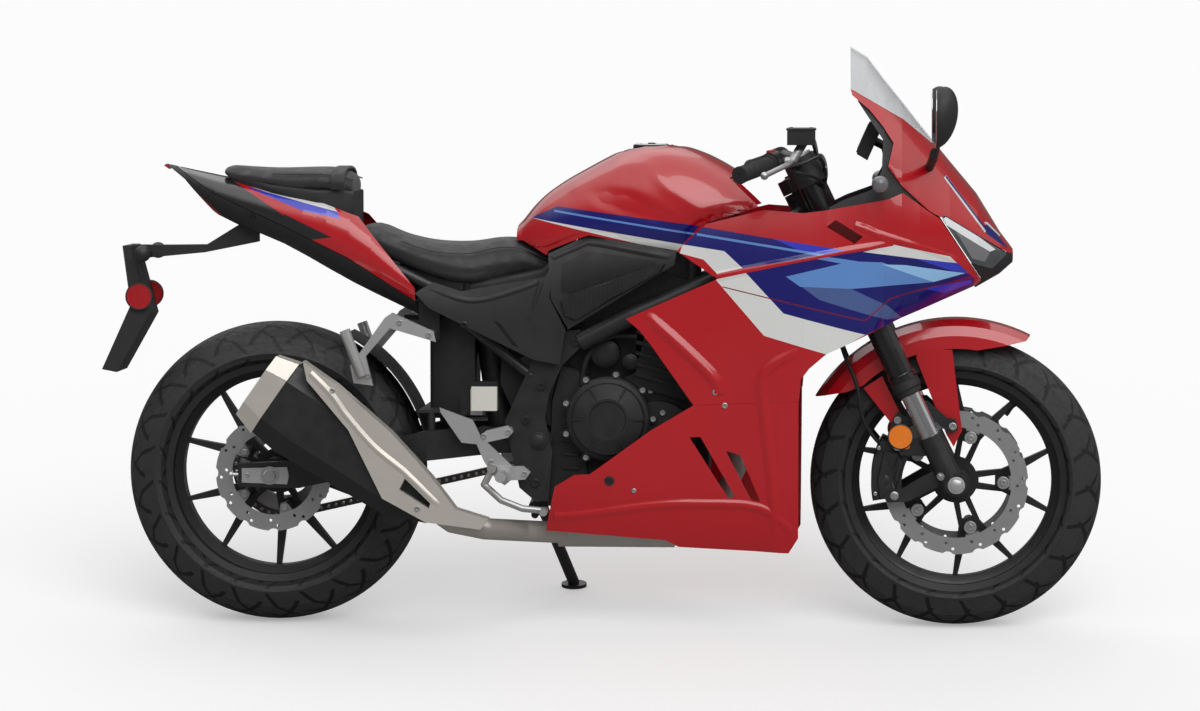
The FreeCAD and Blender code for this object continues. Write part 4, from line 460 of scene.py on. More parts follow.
def control_metal():
    """Black housings whose levers, ahead of the grips, are bright alloy."""
    finish = Finish("control_black", (0.02, 0.02, 0.021), 0.45, coat=0.1)
    tree = finish.tree
    x, y, z = coords(tree)
    out = math_node(tree, "ABSOLUTE", y)
    ahead = math_node(
        tree, "ADD", math_node(tree, "MULTIPLY", x, 0.87), math_node(tree, "MULTIPLY", out, 0.48),
    )
    free = math_node(tree, "GREATER_THAN", ahead, 1.0505)
    low = math_node(tree, "LESS_THAN", z, 0.985)
    lever = math_node(tree, "MULTIPLY", free, low)
    finish.paint(lever, (0.55, 0.55, 0.55))
    link(tree, math_node(tree, "MULTIPLY", lever, 0.9), finish.shader.inputs["Metallic"])
    return finish.done()


def cup_and_levers():
    """Bright foot levers, and the white fluid cup with its black lid."""
    finish = Finish("foot_alloy", (0.5, 0.5, 0.5), 0.34, vary=0.05, grain=900.0, depth=0.00001, sway=0.1)
    cup = inside(finish.tree, [(415, 448), (475, 448), (475, 500), (415, 500)])
    lid = inside(finish.tree, [(415, 500), (475, 500), (475, 514), (415, 514)])
    stay = inside(finish.tree, [(392, 438), (415.5, 438), (415.5, 498), (392, 498)])
    finish.paint(cup, (0.72, 0.7, 0.64))
    finish.paint(lid, BLACK)
    finish.paint(stay, BLACK)
    made = finish.done()
    shade = math_node(finish.tree, "MAXIMUM", cup, math_node(finish.tree, "MAXIMUM", lid, stay))
    metal = math_node(finish.tree, "SUBTRACT", 1.0, shade)
    link(finish.tree, math_node(finish.tree, "MULTIPLY", metal, 0.6), finish.shader.inputs["Metallic"])
    return made


def seat_cloth(name, colour):
    """Grained seat cover."""
    finish = Finish(name, colour, 0.66, vary=0.12, grain=520.0, depth=0.00012, patch=14.0)
    finish.shader.inputs["Sheen Weight"].default_value = 0.12
    finish.height = math_node(finish.tree, "ADD", finish.height, cells(finish.tree, 620))
    return finish.done()


satin = plain("satin_black", (0.02, 0.02, 0.022), 0.42, coat=0.15, vary=0.15)
deep_black = plain("gloss_black", (0.012, 0.012, 0.013), 0.25, coat=0.6)
plastic = plain("moulded_black", (0.022, 0.022, 0.023), 0.58, grain=1500.0, depth=0.00008, vary=0.15)
cast = plain("cast_dark", (0.04, 0.04, 0.042), 0.5, metal=0.6, grain=1100.0, depth=0.0001, vary=0.2)
cover_black = plain(
    "cover_dark", (0.03, 0.03, 0.031), 0.42, metal=0.3, grain=900.0, depth=0.00006, vary=0.15,
)
steel = plain("bare_steel", (0.6, 0.6, 0.61), 0.3, metal=0.75, grain=600.0, depth=0.00001, sway=0.1)
chrome = plain("chrome_tube", (0.78, 0.78, 0.8), 0.12, metal=0.9, vary=0.03, depth=0.000004, sway=0.1)
champagne = plain(
    "muffler_alloy", (0.66, 0.62, 0.56), 0.36, metal=0.45, vary=0.03, grain=1600.0, depth=0.000008,
    sway=0.08,
)
heated = plain(
    "heated_steel", (0.5, 0.47, 0.43), 0.38, metal=0.55, vary=0.1, patch=14.0, depth=0.00001, sway=0.1,
)
alloy = plain(
    "silver_alloy", (0.6, 0.6, 0.6), 0.36, metal=0.6, vary=0.05, grain=900.0, depth=0.00001, sway=0.1,
)
grip_rubber = ribbed("grip_rubber", (0.022, 0.022, 0.022), 0.75, 1, 0.006, 0.0005)
chain_steel = plain("chain_steel", (0.16, 0.15, 0.14), 0.4, metal=1.0, vary=0.3)
amber = glassy("amber_lens", (0.9, 0.22, 0.01), 1.0, 0.15, 420)
ruby = glassy("red_lens", (0.42, 0.008, 0.012), 1.0, 0.15, 380)
screen = glassy("clear_screen", (0.75, 0.78, 0.8), 0.34, 0.06)
smoked = glassy("smoked_lens", (0.16, 0.16, 0.17), 1.0, 0.12, 300)
radiator_core = ribbed("radiator_core", (0.03, 0.03, 0.03), 0.5, 2, 0.004, 0.0008)
red_plain = paintwork("red_paint")
mirror_glass = plain("mirror_glass", (0.82, 0.84, 0.86), 0.02, metal=1.0, vary=0.01, depth=0.000001)
seam_black = plain("seam_black", (0.004, 0.004, 0.004), 0.8)
display = glassy("display_glass", (0.012, 0.014, 0.018), 1.0, 0.05)

WEAR = {
    "front_tyre": rubber("front_rubber", FRONT_AXLE, 0.06, 22, 0.236),
    "rear_tyre": rubber("rear_rubber", REAR_AXLE, 0.08, 22, 0.236),
    "front_rim": satin, "rear_rim": satin,
    "front_discs": brushed_disc("front_disc_steel", FRONT_AXLE, 0.109, 0.112),
    "rear_disc": brushed_disc("rear_disc_steel", REAR_AXLE, 0.06, 0.084),
    "rear_sprocket": steel, "fork_uppers": deep_black, "fork_sliders": chrome, "fork_feet": satin,
    "front_reflectors": amber, "triple_clamps": satin, "handlebars": satin, "grips": grip_rubber,
    "bar_controls": control_metal(), "front_calipers": cover_black, "front_fender": red_plain,
    "front_axle": steel, "frame": satin, "swingarm": satin, "pivot_bolt": cover_black, "rear_axle": steel,
    "rear_spacers": steel, "rear_caliper": cover_black, "chain": chain_steel, "engine": cast,
    "engine_covers": cover_black, "radiator": radiator_core, "exhaust_pipes": heated,
    "muffler_can": plain("muffler_black", (0.016, 0.016, 0.017), 0.5, grain=1300.0, depth=0.00006),
    "muffler_cap": champagne, "muffler_shield": champagne,
    "side_fairings": paintwork("fairing_paint", FAIRING_SHAPES, 212),
    "belly_pans": red_plain, "upper_cowl": paintwork("cowl_paint", NOSE_SHAPES, 100),
    "headlamps": headlamp_glass(), "windscreen": screen, "inner_panels": plastic,
    "fuel_tank": paintwork("tank_paint", TANK_SHAPES, 146), "fuel_lid": satin, "lid_pin": steel,
    "tail_cowl": shaded("tail_black", LAMP_EDGE, 60),
    "tail_panels": paintwork("tail_paint", TAIL_SHAPES, 90),
    # The air covers carry a near-black patch of painted shade above the duct.
    "air_covers": shaded("cover_black", COVER_PAINTED_SHADE, 150),
    "side_covers": plastic, "mirrors": plastic, "plate_holder": plastic,
    "front_indicators": smoked, "rider_pegs": alloy, "pillion_pegs": alloy, "foot_controls": cup_and_levers(),
    "rear_shock": satin, "dash": plastic, "tail_lamp": ruby, "hugger": plastic, "side_stand": satin,
    "stand_bolt": steel,
}


def dress_nodes():
    for name, material in WEAR.items():
        node = NODES[name]
        node.data.materials.clear()
        node.data.materials.append(material)


dress_nodes()


# Mesh helpers


def around(x, z, radius, angle):
    """The place at a distance and an angle from another."""
    return x + radius * math.cos(angle), z + radius * math.sin(angle)


def circle(at, side, other, radius, sides, phase=0.0):
    """Points round a packed point, in the plane of two directions."""
    ring = []
    for j in range(sides):
        angle = 2 * math.pi * j / sides + phase
        ring.append(at + (side * math.cos(angle) + other * math.sin(angle)) * radius)
    return ring


def heading(points, i):
    """Direction of a run of points at one of them."""
    return (points[min(i + 1, len(points) - 1)] - points[max(i - 1, 0)]).normalized()


def dense(corners, step):
    """Places about a step apart along a run of corners, without the last corner."""
    places = []
    for a, b in zip(corners, corners[1:]):
        count = max(1, round(math.hypot(b[0] - a[0], b[1] - a[1]) / step))
        for i in range(count):
            places.append((a[0] + (b[0] - a[0]) * i / count, a[1] + (b[1] - a[1]) * i / count))
    return places


def middle(corners):
    return [sum(corner[i] for corner in corners) / len(corners) for i in (0, 1)]


def drawn_in(corners, centre, inset):
    """Corners moved towards a centre by a distance."""
    cx, cz = centre
    places = []
    for x, z in corners:
        shrink = max(0.0, 1 - inset / math.hypot(x - cx, z - cz))
        places.append((cx + (x - cx) * shrink, cz + (z - cz) * shrink))
    return places


class Bits:
    """Small forms gathered into one piece."""

    def __init__(self):
        self.verts = []
        self.faces = []

    def rings(self, rings, closed=False, capped=True):
        """Skins a run of rings that have as many points each."""
        base = len(self.verts)
        count = len(rings[0])
        for ring in rings:
            self.verts.extend(ring)
        spans = len(rings) if closed else len(rings) - 1
        for i in range(spans):
            here = base + i * count
            there = base + (i + 1) % len(rings) * count
            for j in range(count):
                k = (j + 1) % count
                self.faces.append((here + j, here + k, there + k, there + j))
        if capped and not closed:
            self.faces.append(tuple(base + j for j in reversed(range(count))))
            last = base + (len(rings) - 1) * count
            self.faces.append(tuple(last + j for j in range(count)))

    def turned(self, profile, at, axis, sides=16, phase=0.0, capped=True):
        """A turned form: (radius, height) steps in millimetres along an axis from a point."""
        side = axis.orthogonal().normalized()
        other = axis.cross(side)
        rings = []
        for radius, height in profile:
            rings.append(circle(at + axis * (height / 1000), side, other, radius / 1000, sides, phase))
        self.rings(rings, capped=capped)

    def paired(self, profile, x, y, z, sides, capped=True):
        """The same turned form, facing out on both sides of the bike."""
        for side in (1, -1):
            self.turned(profile, spot(x, side * y, z), way(0, side, 0), sides, capped=capped)

    def cap_screw(self, at, axis, radius=5.0, high=4.0):
        hollow = radius * 0.5
        steps = [
            (radius, -2), (radius, high * 0.75), (radius * 0.86, high), (hollow * 1.1, high),
            (hollow, high * 0.35), (0.2, high * 0.35),
        ]
        self.turned(steps, at, axis, 14)

    def hex_nut(self, at, axis, radius=9.0, high=7.0, phase=0.0):
        self.turned([(radius * 1.35, -1), (radius * 1.35, 1.2), (radius * 1.2, 1.6)], at, axis, 24)
        self.turned([(radius, 0), (radius, high * 0.85), (radius * 0.88, high)], at, axis, 6, phase)

    def tube(self, points, radius, sides=10):
        """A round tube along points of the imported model."""
        rings = []
        side = None
        for i, at in enumerate(points):
            along = heading(points, i)
            if side is None:
                side = along.orthogonal().normalized()
            side = (side - along * side.dot(along)).normalized()
            rings.append(circle(at, side, along.cross(side), radius / 1000, sides))
        self.rings(rings)

    def slab(self, corners, low, high, bevel=0.8):
        """A plate of (x, z) corners between two distances from the middle, with broken edges."""
        centre = middle(corners)
        step = bevel if high > low else -bevel
        rings = []
        for y, inset in ((low, bevel), (low + step, 0), (high - step, 0), (high, bevel)):
            rings.append([spot(x, y, z) for x, z in drawn_in(corners, centre, inset)])
        self.rings(rings)

    def make(self, name, material, body="chassis", smooth=True):
        mesh = bpy.data.meshes.new(name)
        mesh.from_pydata([tuple(v) for v in self.verts], [], self.faces)
        work = bmesh.new()
        work.from_mesh(mesh)
        bmesh.ops.recalc_face_normals(work, faces=work.faces)
        work.to_mesh(mesh)
        work.free()
        mesh.materials.append(material)
        piece = bpy.data.objects.new(name, mesh)
        bpy.context.scene.collection.objects.link(piece)
        if smooth:
            mesh.shade_smooth()
            for edge in mesh.edges:
                edge.use_edge_sharp = False
            mesh.set_sharp_from_angle(angle=math.radians(35))
        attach(piece, body)
        return piece


def smooth_run(corners, steps):
    """Points of a curve through corners."""
    spots = [corners[0]] + corners + [corners[-1]]
    points = []
    for i in range(1, len(spots) - 2):
        before, here, there, after = spots[i - 1:i + 3]
        for j in range(steps):
            share = j / steps
            square = (2 * before - 5 * here + 4 * there - after) * share * share
            cube = (3 * here - before - 3 * there + after) * share ** 3
            points.append(0.5 * ((2 * here) + (there - before) * share + square + cube))
    points.append(corners[-1])
    return points


def curve(corners, steps):
    """Packed points of a curve through places of the upright bike."""
    return [spot(*place) for place in smooth_run([Vector(corner) for corner in corners], steps)]


def hit(names, x, z, side, reach=700):
    """Where a line from outside at (x, z) first meets one of the nodes, and the surface's normal."""
    start = spot(x, side * reach, z)
    aim = way(0, -side, 0)
    best = None
    for name in names:
        found, at, normal = NODES[name].ray_cast(start, aim)[:3]
        if found and (best is None or (at - start).length < best[2]):
            best = (at, normal, (at - start).length)
    if best is None:
        return None, None
    normal = best[1]
    if normal.dot(aim) > 0:
        normal = -normal
    return best[0], normal


def met(names, places, side):
    """Points and normals where lines from outside at (x, z) places meet the nodes."""
    found = [hit(names, x, z, side) for x, z in places]
    return [pair for pair in found if pair[0] is not None]


def strip(bits, names, corners, wide, high, side, step=9.0):
    """A low rounded strip laid on the surface along (x, z) corners."""
    found = met(names, dense(corners, step) + [corners[-1]], side)
    line = [at for at, normal in found]
    rings = []
    for i, (at, normal) in enumerate(found):
        across = heading(line, i).cross(normal).normalized()
        ends = 0.15 if i in (0, len(found) - 1) else 1.0
        half = wide / 2000 * ends
        rings.append([
            at + across * half - normal * 0.0012,
            at + across * half * 0.6 + normal * (high / 1000 * 0.8 * ends),
            at + normal * (high / 1000 * ends),
            at - across * half * 0.6 + normal * (high / 1000 * 0.8 * ends),
            at - across * half - normal * 0.0012,
        ])
    bits.rings(rings)


def swage(bits, names, corners, wide, high, side):
    """A broad soft crease that follows the surface along (x, z) corners."""
    line = smooth_run([Vector((x, 0, z)) for x, z in corners], 8)
    count = len(line)
    rings = []
    for i, place in enumerate(line):
        along = heading(line, i)
        across = Vector((-along.z, 0, along.x))
        from_end = min(i, count - 1 - i) / 6
        ends = min(1.0, from_end) ** 0.5
        ring = []
        for k in (-1.0, -0.75, -0.5, -0.25, 0.0, 0.25, 0.5, 0.75, 1.0):
            x = place.x + across.x * k * wide / 2
            at = hit(names, x, place.z + across.z * k * wide / 2, side)[0]
            if at is None:
                break
            rise = high * ends * (1 - k * k) ** 2 - 0.6
            ring.append(at + way(0, side, 0) * (rise / 1000))
        if len(ring) == 9:
            rings.append(ring + [ring[4] - way(0, side, 0) * 0.004])
    if len(rings) > 2:
        bits.rings(rings)


def patch(bits, names, corners, high, side, edge=3.0, step=10.0):
    """A low raised panel with sloping edges, laid on the surface inside convex (x, z) corners."""
    centre = middle(corners)
    cx, cz = centre
    outline = dense(corners + corners[:1], step)
    rings = [(drawn_in(outline, centre, inset), rise) for inset, rise in (
        (0, -1.5), (0.5, high * 0.5), (edge, high),
    )]
    rim = rings[2][0]
    for share in (0.66, 0.33, 0.04):
        rings.append(([(cx + (x - cx) * share, cz + (z - cz) * share) for x, z in rim], high))
    solid = []
    for places, rise in rings:
        solid.append([at + normal * (rise / 1000) for at, normal in met(names, places, side)])
    bits.rings(solid)


def screws(name, names, places, material, radius=5.0, high=3.0, sides=(1, -1)):
    """Cap screws standing on the chassis' surface at (x, z) places."""
    bits = Bits()
    for side in sides:
        for at, normal in met(names, places, side):
            bits.cap_screw(at, normal, radius, high)
    bits.make(name, material, "chassis")


# Brake hoses between each caliper and the lower clamp

UNDER = STEM + DOWN * 107.3 + AHEAD * 12
HOSE_ROUTE = [
    (1252.4, 62, 381), (1230, 72, 406), (1214, 84, 446), (1208, 87, 505), (1182, 72, 556), (1166, 54, 610),
    (1176, 47, 660), tuple(UNDER + DOWN * 42 + Vector((0, 45, 0))), tuple(UNDER + Vector((0, 45, 0))),
]


def add_hoses():
    material = plain("hose_rubber", (0.018, 0.018, 0.018), 0.6, grain=1800.0, depth=0.0001)
    for name, side in (("brake_hose_left", 1), ("brake_hose_right", -1)):
        line = bpy.data.curves.new(name, "CURVE")
        line.dimensions = "3D"
        line.bevel_depth = 0.004
        line.bevel_resolution = 3
        line.resolution_u = 8
        spline = line.splines.new("NURBS")
        spline.points.add(len(HOSE_ROUTE) - 1)
        for control, (x, y, z) in zip(spline.points, HOSE_ROUTE):
            control.co = (*spot(x, y * side, z), 1)
        spline.order_u = 3
        spline.use_endpoint_u = True
        line.materials.append(material)
        piece = bpy.data.objects.new(name, line)
        bpy.context.scene.collection.objects.link(piece)
        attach(piece, "steering")
        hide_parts("brake_hoses")
        x, y, z = HOSE_ROUTE[0]


add_hoses()


# Wheels

VALVE_RAD = 198


def spin_bolts(bits, axle, radius, count, y, size, high, phase=0.0):
    out = 1 if y > 0 else -1
    for i in range(count):
        angle = 2 * math.pi * i / count + phase
        x, z = around(axle.x, axle.z, radius, angle)
        bits.cap_screw(spot(x, y, z), way(0, out, 0), size, high)


def wheel_fittings():
    front = Bits()
    for side in (1, -1):
        for i in range(5):
            x, z = around(FRONT_AXLE.x, FRONT_AXLE.z, FRONT_BOLT_RAD, 2 * math.pi * i / 5)
            button = spot(x, side * (FRONT_DISC_OUT - 1), z)
            front.turned(
                [(13, -2), (13, 1.6), (12, 2.6), (9, 2.6), (8.6, 1.8), (8.4, 1.8)], button, way(0, side, 0),
                24,
            )
        spin_bolts(front, FRONT_AXLE, FRONT_BOLT_RAD, 5, side * FRONT_DISC_OUT, 6.5, 4)
    front.make("front_disc_bolts", steel, "front_wheel")
    rear = Bits()
    spin_bolts(rear, REAR_AXLE, REAR_BOLT_RAD, 5, -REAR_DISC_OUT, 6.5, 4)
    spin_bolts(rear, REAR_AXLE, REAR_BOLT_RAD, 5, CHAIN_OUT + 2.8, 7, 5, 0.3)
    rear.make("rear_disc_bolts", steel, "rear_wheel")
    for name, axle, half, body in (
        ("front_hub_rings", FRONT_AXLE, 58, "front_wheel"), ("rear_hub_rings", REAR_AXLE, 72, "rear_wheel"),
    ):
        rings = Bits()
        profile = [(27, -1), (27, 0.8), (25, 1.2), (18, 0.8), (14, 0.2), (11, 0.2)]
        rings.paired(profile, axle.x, half, axle.z, 32)
        rings.make(name, cover_black, body)
    for name, axle, half, body in (
        ("front_valve", FRONT_AXLE, 10, "front_wheel"), ("rear_valve", REAR_AXLE, 14, "rear_wheel"),
    ):
        valve = Bits()
        angle = math.radians(52)
        x, z = around(axle.x, axle.z, VALVE_RAD, angle)
        inward = way(-math.cos(angle), 0, -math.sin(angle))
        profile = [(5, -3), (5, 2), (3.4, 6), (3.2, 18), (4, 18.5), (4, 28), (3, 29)]
        valve.turned(profile, spot(x, half, z), inward, 12)
        valve.make(name, plastic, body)


def pitch_rad(teeth):
    return CHAIN_PITCH / (2 * math.sin(math.pi / teeth))


def sprocket_teeth():
    """Teeth round the rear sprocket."""
    pitch = pitch_rad(REAR_TEETH)
    bits = Bits()
    for i in range(REAR_TEETH):
        angle = 2 * math.pi * (i + 0.5) / REAR_TEETH

        def at(radius, offset, y):
            x, z = around(REAR_AXLE.x, REAR_AXLE.z, radius, angle + offset / radius)
            return spot(x, y, z)

        rings = []
        for radius, half in ((pitch - 9.5, 5.4), (pitch - 3, 4.6), (pitch + 2.5, 2.2), (pitch + 4, 0.8)):
            thick = 2.6 if radius < pitch else 1.6
            corners = ((-half, -thick), (half, -thick), (half, thick), (-half, thick))
            rings.append([at(radius, offset, CHAIN_OUT + rise) for offset, rise in corners])
        bits.rings(rings)
    bits.make("sprocket_teeth", steel, "rear_wheel", smooth=False)


def chain_pins():
    """Pin heads along both faces of the chain, one per link."""
    rear_rad = pitch_rad(REAR_TEETH)
    front_rad = pitch_rad(FRONT_TEETH)
    span = CHAIN_FRONT - REAR_AXLE
    reach = math.hypot(span.x, span.z)
    slope = math.atan2(span.z, span.x)
    lean = math.acos((rear_rad - front_rad) / reach)
    straight = reach * math.sin(lean)
    places = []

    def on_circle(centre, radius, angle):
        x, z = around(centre.x, centre.z, radius, angle)
        return Vector((x, 0, z))

    upper = on_circle(REAR_AXLE, rear_rad, slope + lean)
    lower = on_circle(REAR_AXLE, rear_rad, slope - lean)
    upper_front = on_circle(CHAIN_FRONT, front_rad, slope + lean)
    lower_front = on_circle(CHAIN_FRONT, front_rad, slope - lean)
    links = int(straight / CHAIN_PITCH)
    for i in range(links):
        share = (i + 0.5) / links
        places.append((upper.lerp(upper_front, share), slope))
        places.append((lower.lerp(lower_front, share), slope))
    wrap = 2 * math.pi - 2 * lean
    turns = int(rear_rad * wrap / CHAIN_PITCH)
    for i in range(turns):
        angle = slope + lean + wrap * (i + 0.5) / turns
        places.append((on_circle(REAR_AXLE, rear_rad, angle), angle))
    heads = Bits()
    for place, angle in places:
        for y, out in ((CHAIN_OUT + 8.5, 1), (CHAIN_OUT - 8.5, -1)):
            at = spot(place.x, y, place.z)
            heads.turned([(4.2, -0.5), (4.2, 0.5), (2.6, 1.2)], at, way(0, out, 0), 6)
    heads.make("chain_pins", steel, "chassis", smooth=False)


def axle_ends():
    nuts = Bits()
    for side in (1, -1):
        nuts.hex_nut(spot(FRONT_AXLE.x, side * 129, FRONT_AXLE.z), way(0, side, 0), 13, 6)
    nuts.make("front_axle_nuts", alloy, "steering")
    plates = Bits()
    nuts = Bits()
    for side in (1, -1):
        z = REAR_AXLE.z
        plates.slab(
            [(-58, z - 15), (36, z - 18), (40, z), (36, z + 18), (-58, z + 15)], side * 132, side * 135.5,
        )
        nuts.hex_nut(spot(0, side * 136, z), way(0, side, 0), 14, 8)
        nuts.cap_screw(spot(-46, side * 135, z), way(0, side, 0), 5, 3)
        nuts.turned(
            [(4, 0), (4, 14), (6.4, 14), (6.4, 19), (5.5, 20)], spot(-66, side * 119, z), way(-1, 0, 0), 6,
        )
    plates.make("axle_plates", alloy, "chassis")
    nuts.make("rear_axle_nuts", steel, "chassis")


wheel_fittings()
sprocket_teeth()
chain_pins()
axle_ends()


# Fork, caliper and bar fittings

def fork_fittings():
    seals = Bits()
    caps = Bits()
    bands = Bits()
    down = way(*DOWN)
    for side in (1, -1):
        seals.turned(
            [(27.2, -2), (30, 0), (30, 15), (27, 19), (21, 20)], on_leg(368, side), down, 32,
        )
        seals.turned([(25, -1), (27, 2), (26.4, 9), (21, 12)], on_leg(386, side), down, 32)
        bands.turned(
            [(20.7, -1), (29.6, 0), (30.4, 1.5), (29.6, 3), (20.7, 4)], on_leg(352, side), down, 32,
        )
        caps.turned(
            [(24, -1), (24, 4), (19, 6), (12, 6), (12, 10), (10, 11)], on_leg(-138, side), -down, 24,
        )
        caps.turned([(8, 10), (8, 14), (6.5, 15)], on_leg(-138, side), -down, 6)
    seals.make("fork_seals", plastic, "steering")
    bands.make("fork_bands", deep_black, "steering")
    caps.make("fork_caps", alloy, "steering")
    stem = Bits()
    top = STEM - DOWN * 107
    stem.hex_nut(spot(*top), -down, 15, 6)
    stem.make("stem_nut", steel, "steering")
    lock = Bits()
    lock.turned(
        [(15, -6), (15, 2), (13, 4), (5, 4), (4.6, 2.6), (0.2, 2.6)],
        spot(*(STEM - DOWN * 107 + AHEAD * 33)), -down, 24,
    )
    lock.make("ignition_lock", deep_black, "steering")
    pinch = Bits()
    for side in (1, -1):
        for level in (-92, 92):
            at = STEM + DOWN * level + AHEAD * (31 + 36) + Vector((0, side * 92, 0))
            pinch.cap_screw(spot(*at), way(*AHEAD), 5, 4)
    pinch.make("clamp_screws", steel, "steering")


def caliper_fittings():
    """Piston caps and bolts of the front calipers, and the bolts of the fender and reflectors."""
    caps = Bits()
    bolts = Bits()
    for side in (1, -1):
        for at, normal in met(["front_calipers"], ((1271, 335), (1262, 306)), side):
            caps.turned([(12.5, -1), (12.5, 2.2), (11, 3), (4, 3), (3.6, 2.2), (0.2, 2.2)], at, normal, 28)
        for at, normal in met(
            ["fork_feet", "front_calipers"], ((1290, 378), (1284, 276), (1378, 318)), side,
        ):
            bolts.hex_nut(at, normal, 6.5, 5)
        for at, normal in met(["front_fender", "fork_feet"], ((1403, 418), (1290, 430)), side):
            bolts.cap_screw(at, normal, 8, 3.5)
    caps.make("caliper_caps", satin, "steering")
    bolts.make("caliper_bolts", steel, "steering")


BAR_INNER = Vector((1051, 232, 966))
BAR_OUTER = Vector((975, 372, 938))


def bar_fittings():
    along = (BAR_OUTER - BAR_INNER).normalized()
    ends = Bits()
    ribs = Bits()
    for side in (1, -1):
        flip = Vector((1, side, 1))
        end = BAR_OUTER * flip
        direction = along * flip
        ends.turned(
            [(15.5, -1), (16.4, 1), (16.4, 2.6), (12, 3.4), (5, 3.4), (4.4, 2), (0.2, 2)], spot(*end),
            way(*direction), 28,
        )
        start = BAR_INNER + along * 43
        for offset, radius in ((1, 19.5), (6, 18.4), (118, 17.8)):
            ribs.turned(
                [(16, -2.4), (radius, -1.8), (radius, 1.8), (16, 2.4)],
                spot(*((start + along * offset) * flip)), way(*direction), 28,
            )
        for i in range(13):
            ribs.turned(
                [(16, -1.6), (16.9, -0.9), (16.9, 0.9), (16, 1.6)],
                spot(*((start + along * (14 + i * 7.4)) * flip)), way(*direction), 24,
            )
    ends.make("bar_ends", satin, "steering")
    ribs.make("grip_ribs", grip_rubber, "steering")
    cup = Bits()
    for x, y in ((1074, -238), (1114, -270)):
        cup.cap_screw(spot(x, y, 1030), way(0, 0, 1), 3.6, 2)
    rim = [(1064, -280), (1124, -280), (1124, -228), (1064, -228)]
    rings = []
    for z, grow in ((1026, 0), (1029, 0), (1031, -3)):
        rings.append([
            spot(x + (grow if x > 1094 else -grow), y + (grow if y > -254 else -grow), z)
            for x, y in rim
        ])
    cup.rings(rings)
    cup.make("fluid_cup_lid", satin, "steering")
    switch = Bits()
    mount = (BAR_INNER + along * 30) * Vector((1, -1, 1))
    switch.turned([(9, 19), (9, 24), (7, 26)], spot(*mount), way(-0.2, 0, 1), 4, 0.6)
    switch.make("stop_switch", red_plain, "steering")
    keys = Bits()
    for step, size in ((22, 4.5), (32, 4.0)):
        for side in (1, -1):
            at = (BAR_INNER + along * step) * Vector((1, side, 1))
            keys.turned(
                [(size, 20), (size, 23.5), (size * 0.8, 24.5)], spot(*at), way(-0.87, 0.48 * side, 0.25),
                16,
            )
    keys.make("bar_buttons", plastic, "steering")


fork_fittings()
caliper_fittings()
bar_fittings()


# Bodywork fittings

def bodywork_lines():
    """Creases, seams and raised panels of the plastics."""
    ridge = Bits()
    seam = Bits()
    names = ["side_fairings"]
    both_names = ["side_fairings", "belly_pans"]
    creases = (
        (names, 214, 26, 5, ((690, 279.5), (711, 276.8), (780, 263.5), (850, 250.4), (893, 244.2))),
        (names, 206, 22, 5, ((836, 219.5), (868, 229), (893, 243))),
        (names, 206, 22, 4, ((838, 220), (892, 238), (950, 258), (970, 272))),
        (names, 205, 26, 7, ((634, 311), (648, 300), (690, 281), (716, 278))),
        (names, 205, 34, 8, ((646, 314), (682, 346), (714, 378), (722, 396))),
        (both_names, 205, 30, 6, ((800, 350), (772, 366), (763, 384), (768, 440), (774, 500), (776, 545))),
        (["belly_pans"], 190, 26, 6, (
            (496, 508), (530, 487), (556, 474), (620, 442), (690, 408), (706, 400),
        )),
        (["belly_pans"], 190, 26, 6, (
            (486, 519), (520, 512), (560, 520), (650, 508), (700, 506), (760, 510), (794, 536),
        )),
    )
    for side in (1, -1):
        for on, out, wide, high, pixels in creases:
            swage(ridge, on, traced(out, pixels), wide, high, side)
        seam_line = traced(214, ((723, 286), (865.5, 320.7), (891.4, 299), (916.4, 291.8), (972, 279.3)))
        strip(seam, names, seam_line, 1.6, 0.35, side)
    ridge.make("fairing_creases", WEAR["side_fairings"], "chassis")
    seam.make("fairing_seams", seam_black)
    backs = Bits()
    for side in (1, -1):
        hollow = traced(176, ((820, 212), (866, 222), (872, 250), (824, 246)))
        backs.slab(hollow, side * 168, side * 176, 2)
    backs.make("vent_backs", red_plain, "chassis")
    ducts = Bits()
    slits = Bits()
    for side in (1, -1):
        duct = traced(160, (
            (560, 301), (568, 294), (652, 265), (666, 263), (662, 270), (574, 320), (564, 316),
        ))
        patch(ducts, ["air_covers", "side_covers"], duct, 7, side, edge=4)
        slit = traced(150, ((492, 319), (500, 323), (518, 347), (512, 345)))
        patch(slits, ["side_covers"], slit, 0.5, side, edge=1)
    ducts.make("duct_panels", ribbed("duct_ribs", (0.02, 0.02, 0.021), 0.55, 0, 0.0052, 0.0006))
    slits.make("cover_slits", seam_black)
    outline = Bits()
    for side in (1, -1):
        edge = traced(150, ((546, 270), (556, 252), (583, 241), (630, 248), (671, 256)))
        swage(outline, ["air_covers", "side_covers"], edge, 20, 6, side)
        fall = traced(150, ((548, 262), (540, 284), (532, 310)))
        swage(outline, ["air_covers", "side_covers"], fall, 14, 4, side)
        along = traced(150, ((424, 286), (470, 300), (520, 288), (548, 276)))
        swage(outline, ["side_covers"], along, 16, 4, side)
    outline.make("cover_rims", plastic)


TANK_TOP = ((575, 188), (600, 176), (625, 166), (650, 168), (668, 186), (700, 207), (776, 193))
KNEE = ((584, 190), (604, 184), (630, 188), (655, 202), (684, 224), (660, 226), (620, 216), (596, 206))
TANK_BACK = 514
TANK_FRONT = 1018
SKIN_STATIONS = 64
SKIN_SPOKES = 72
SKIN_PASSES = 5
SKIN_RISE = 4.2
RIDGE_RISE = 3.0
KNEE_DEPTH = 3.6


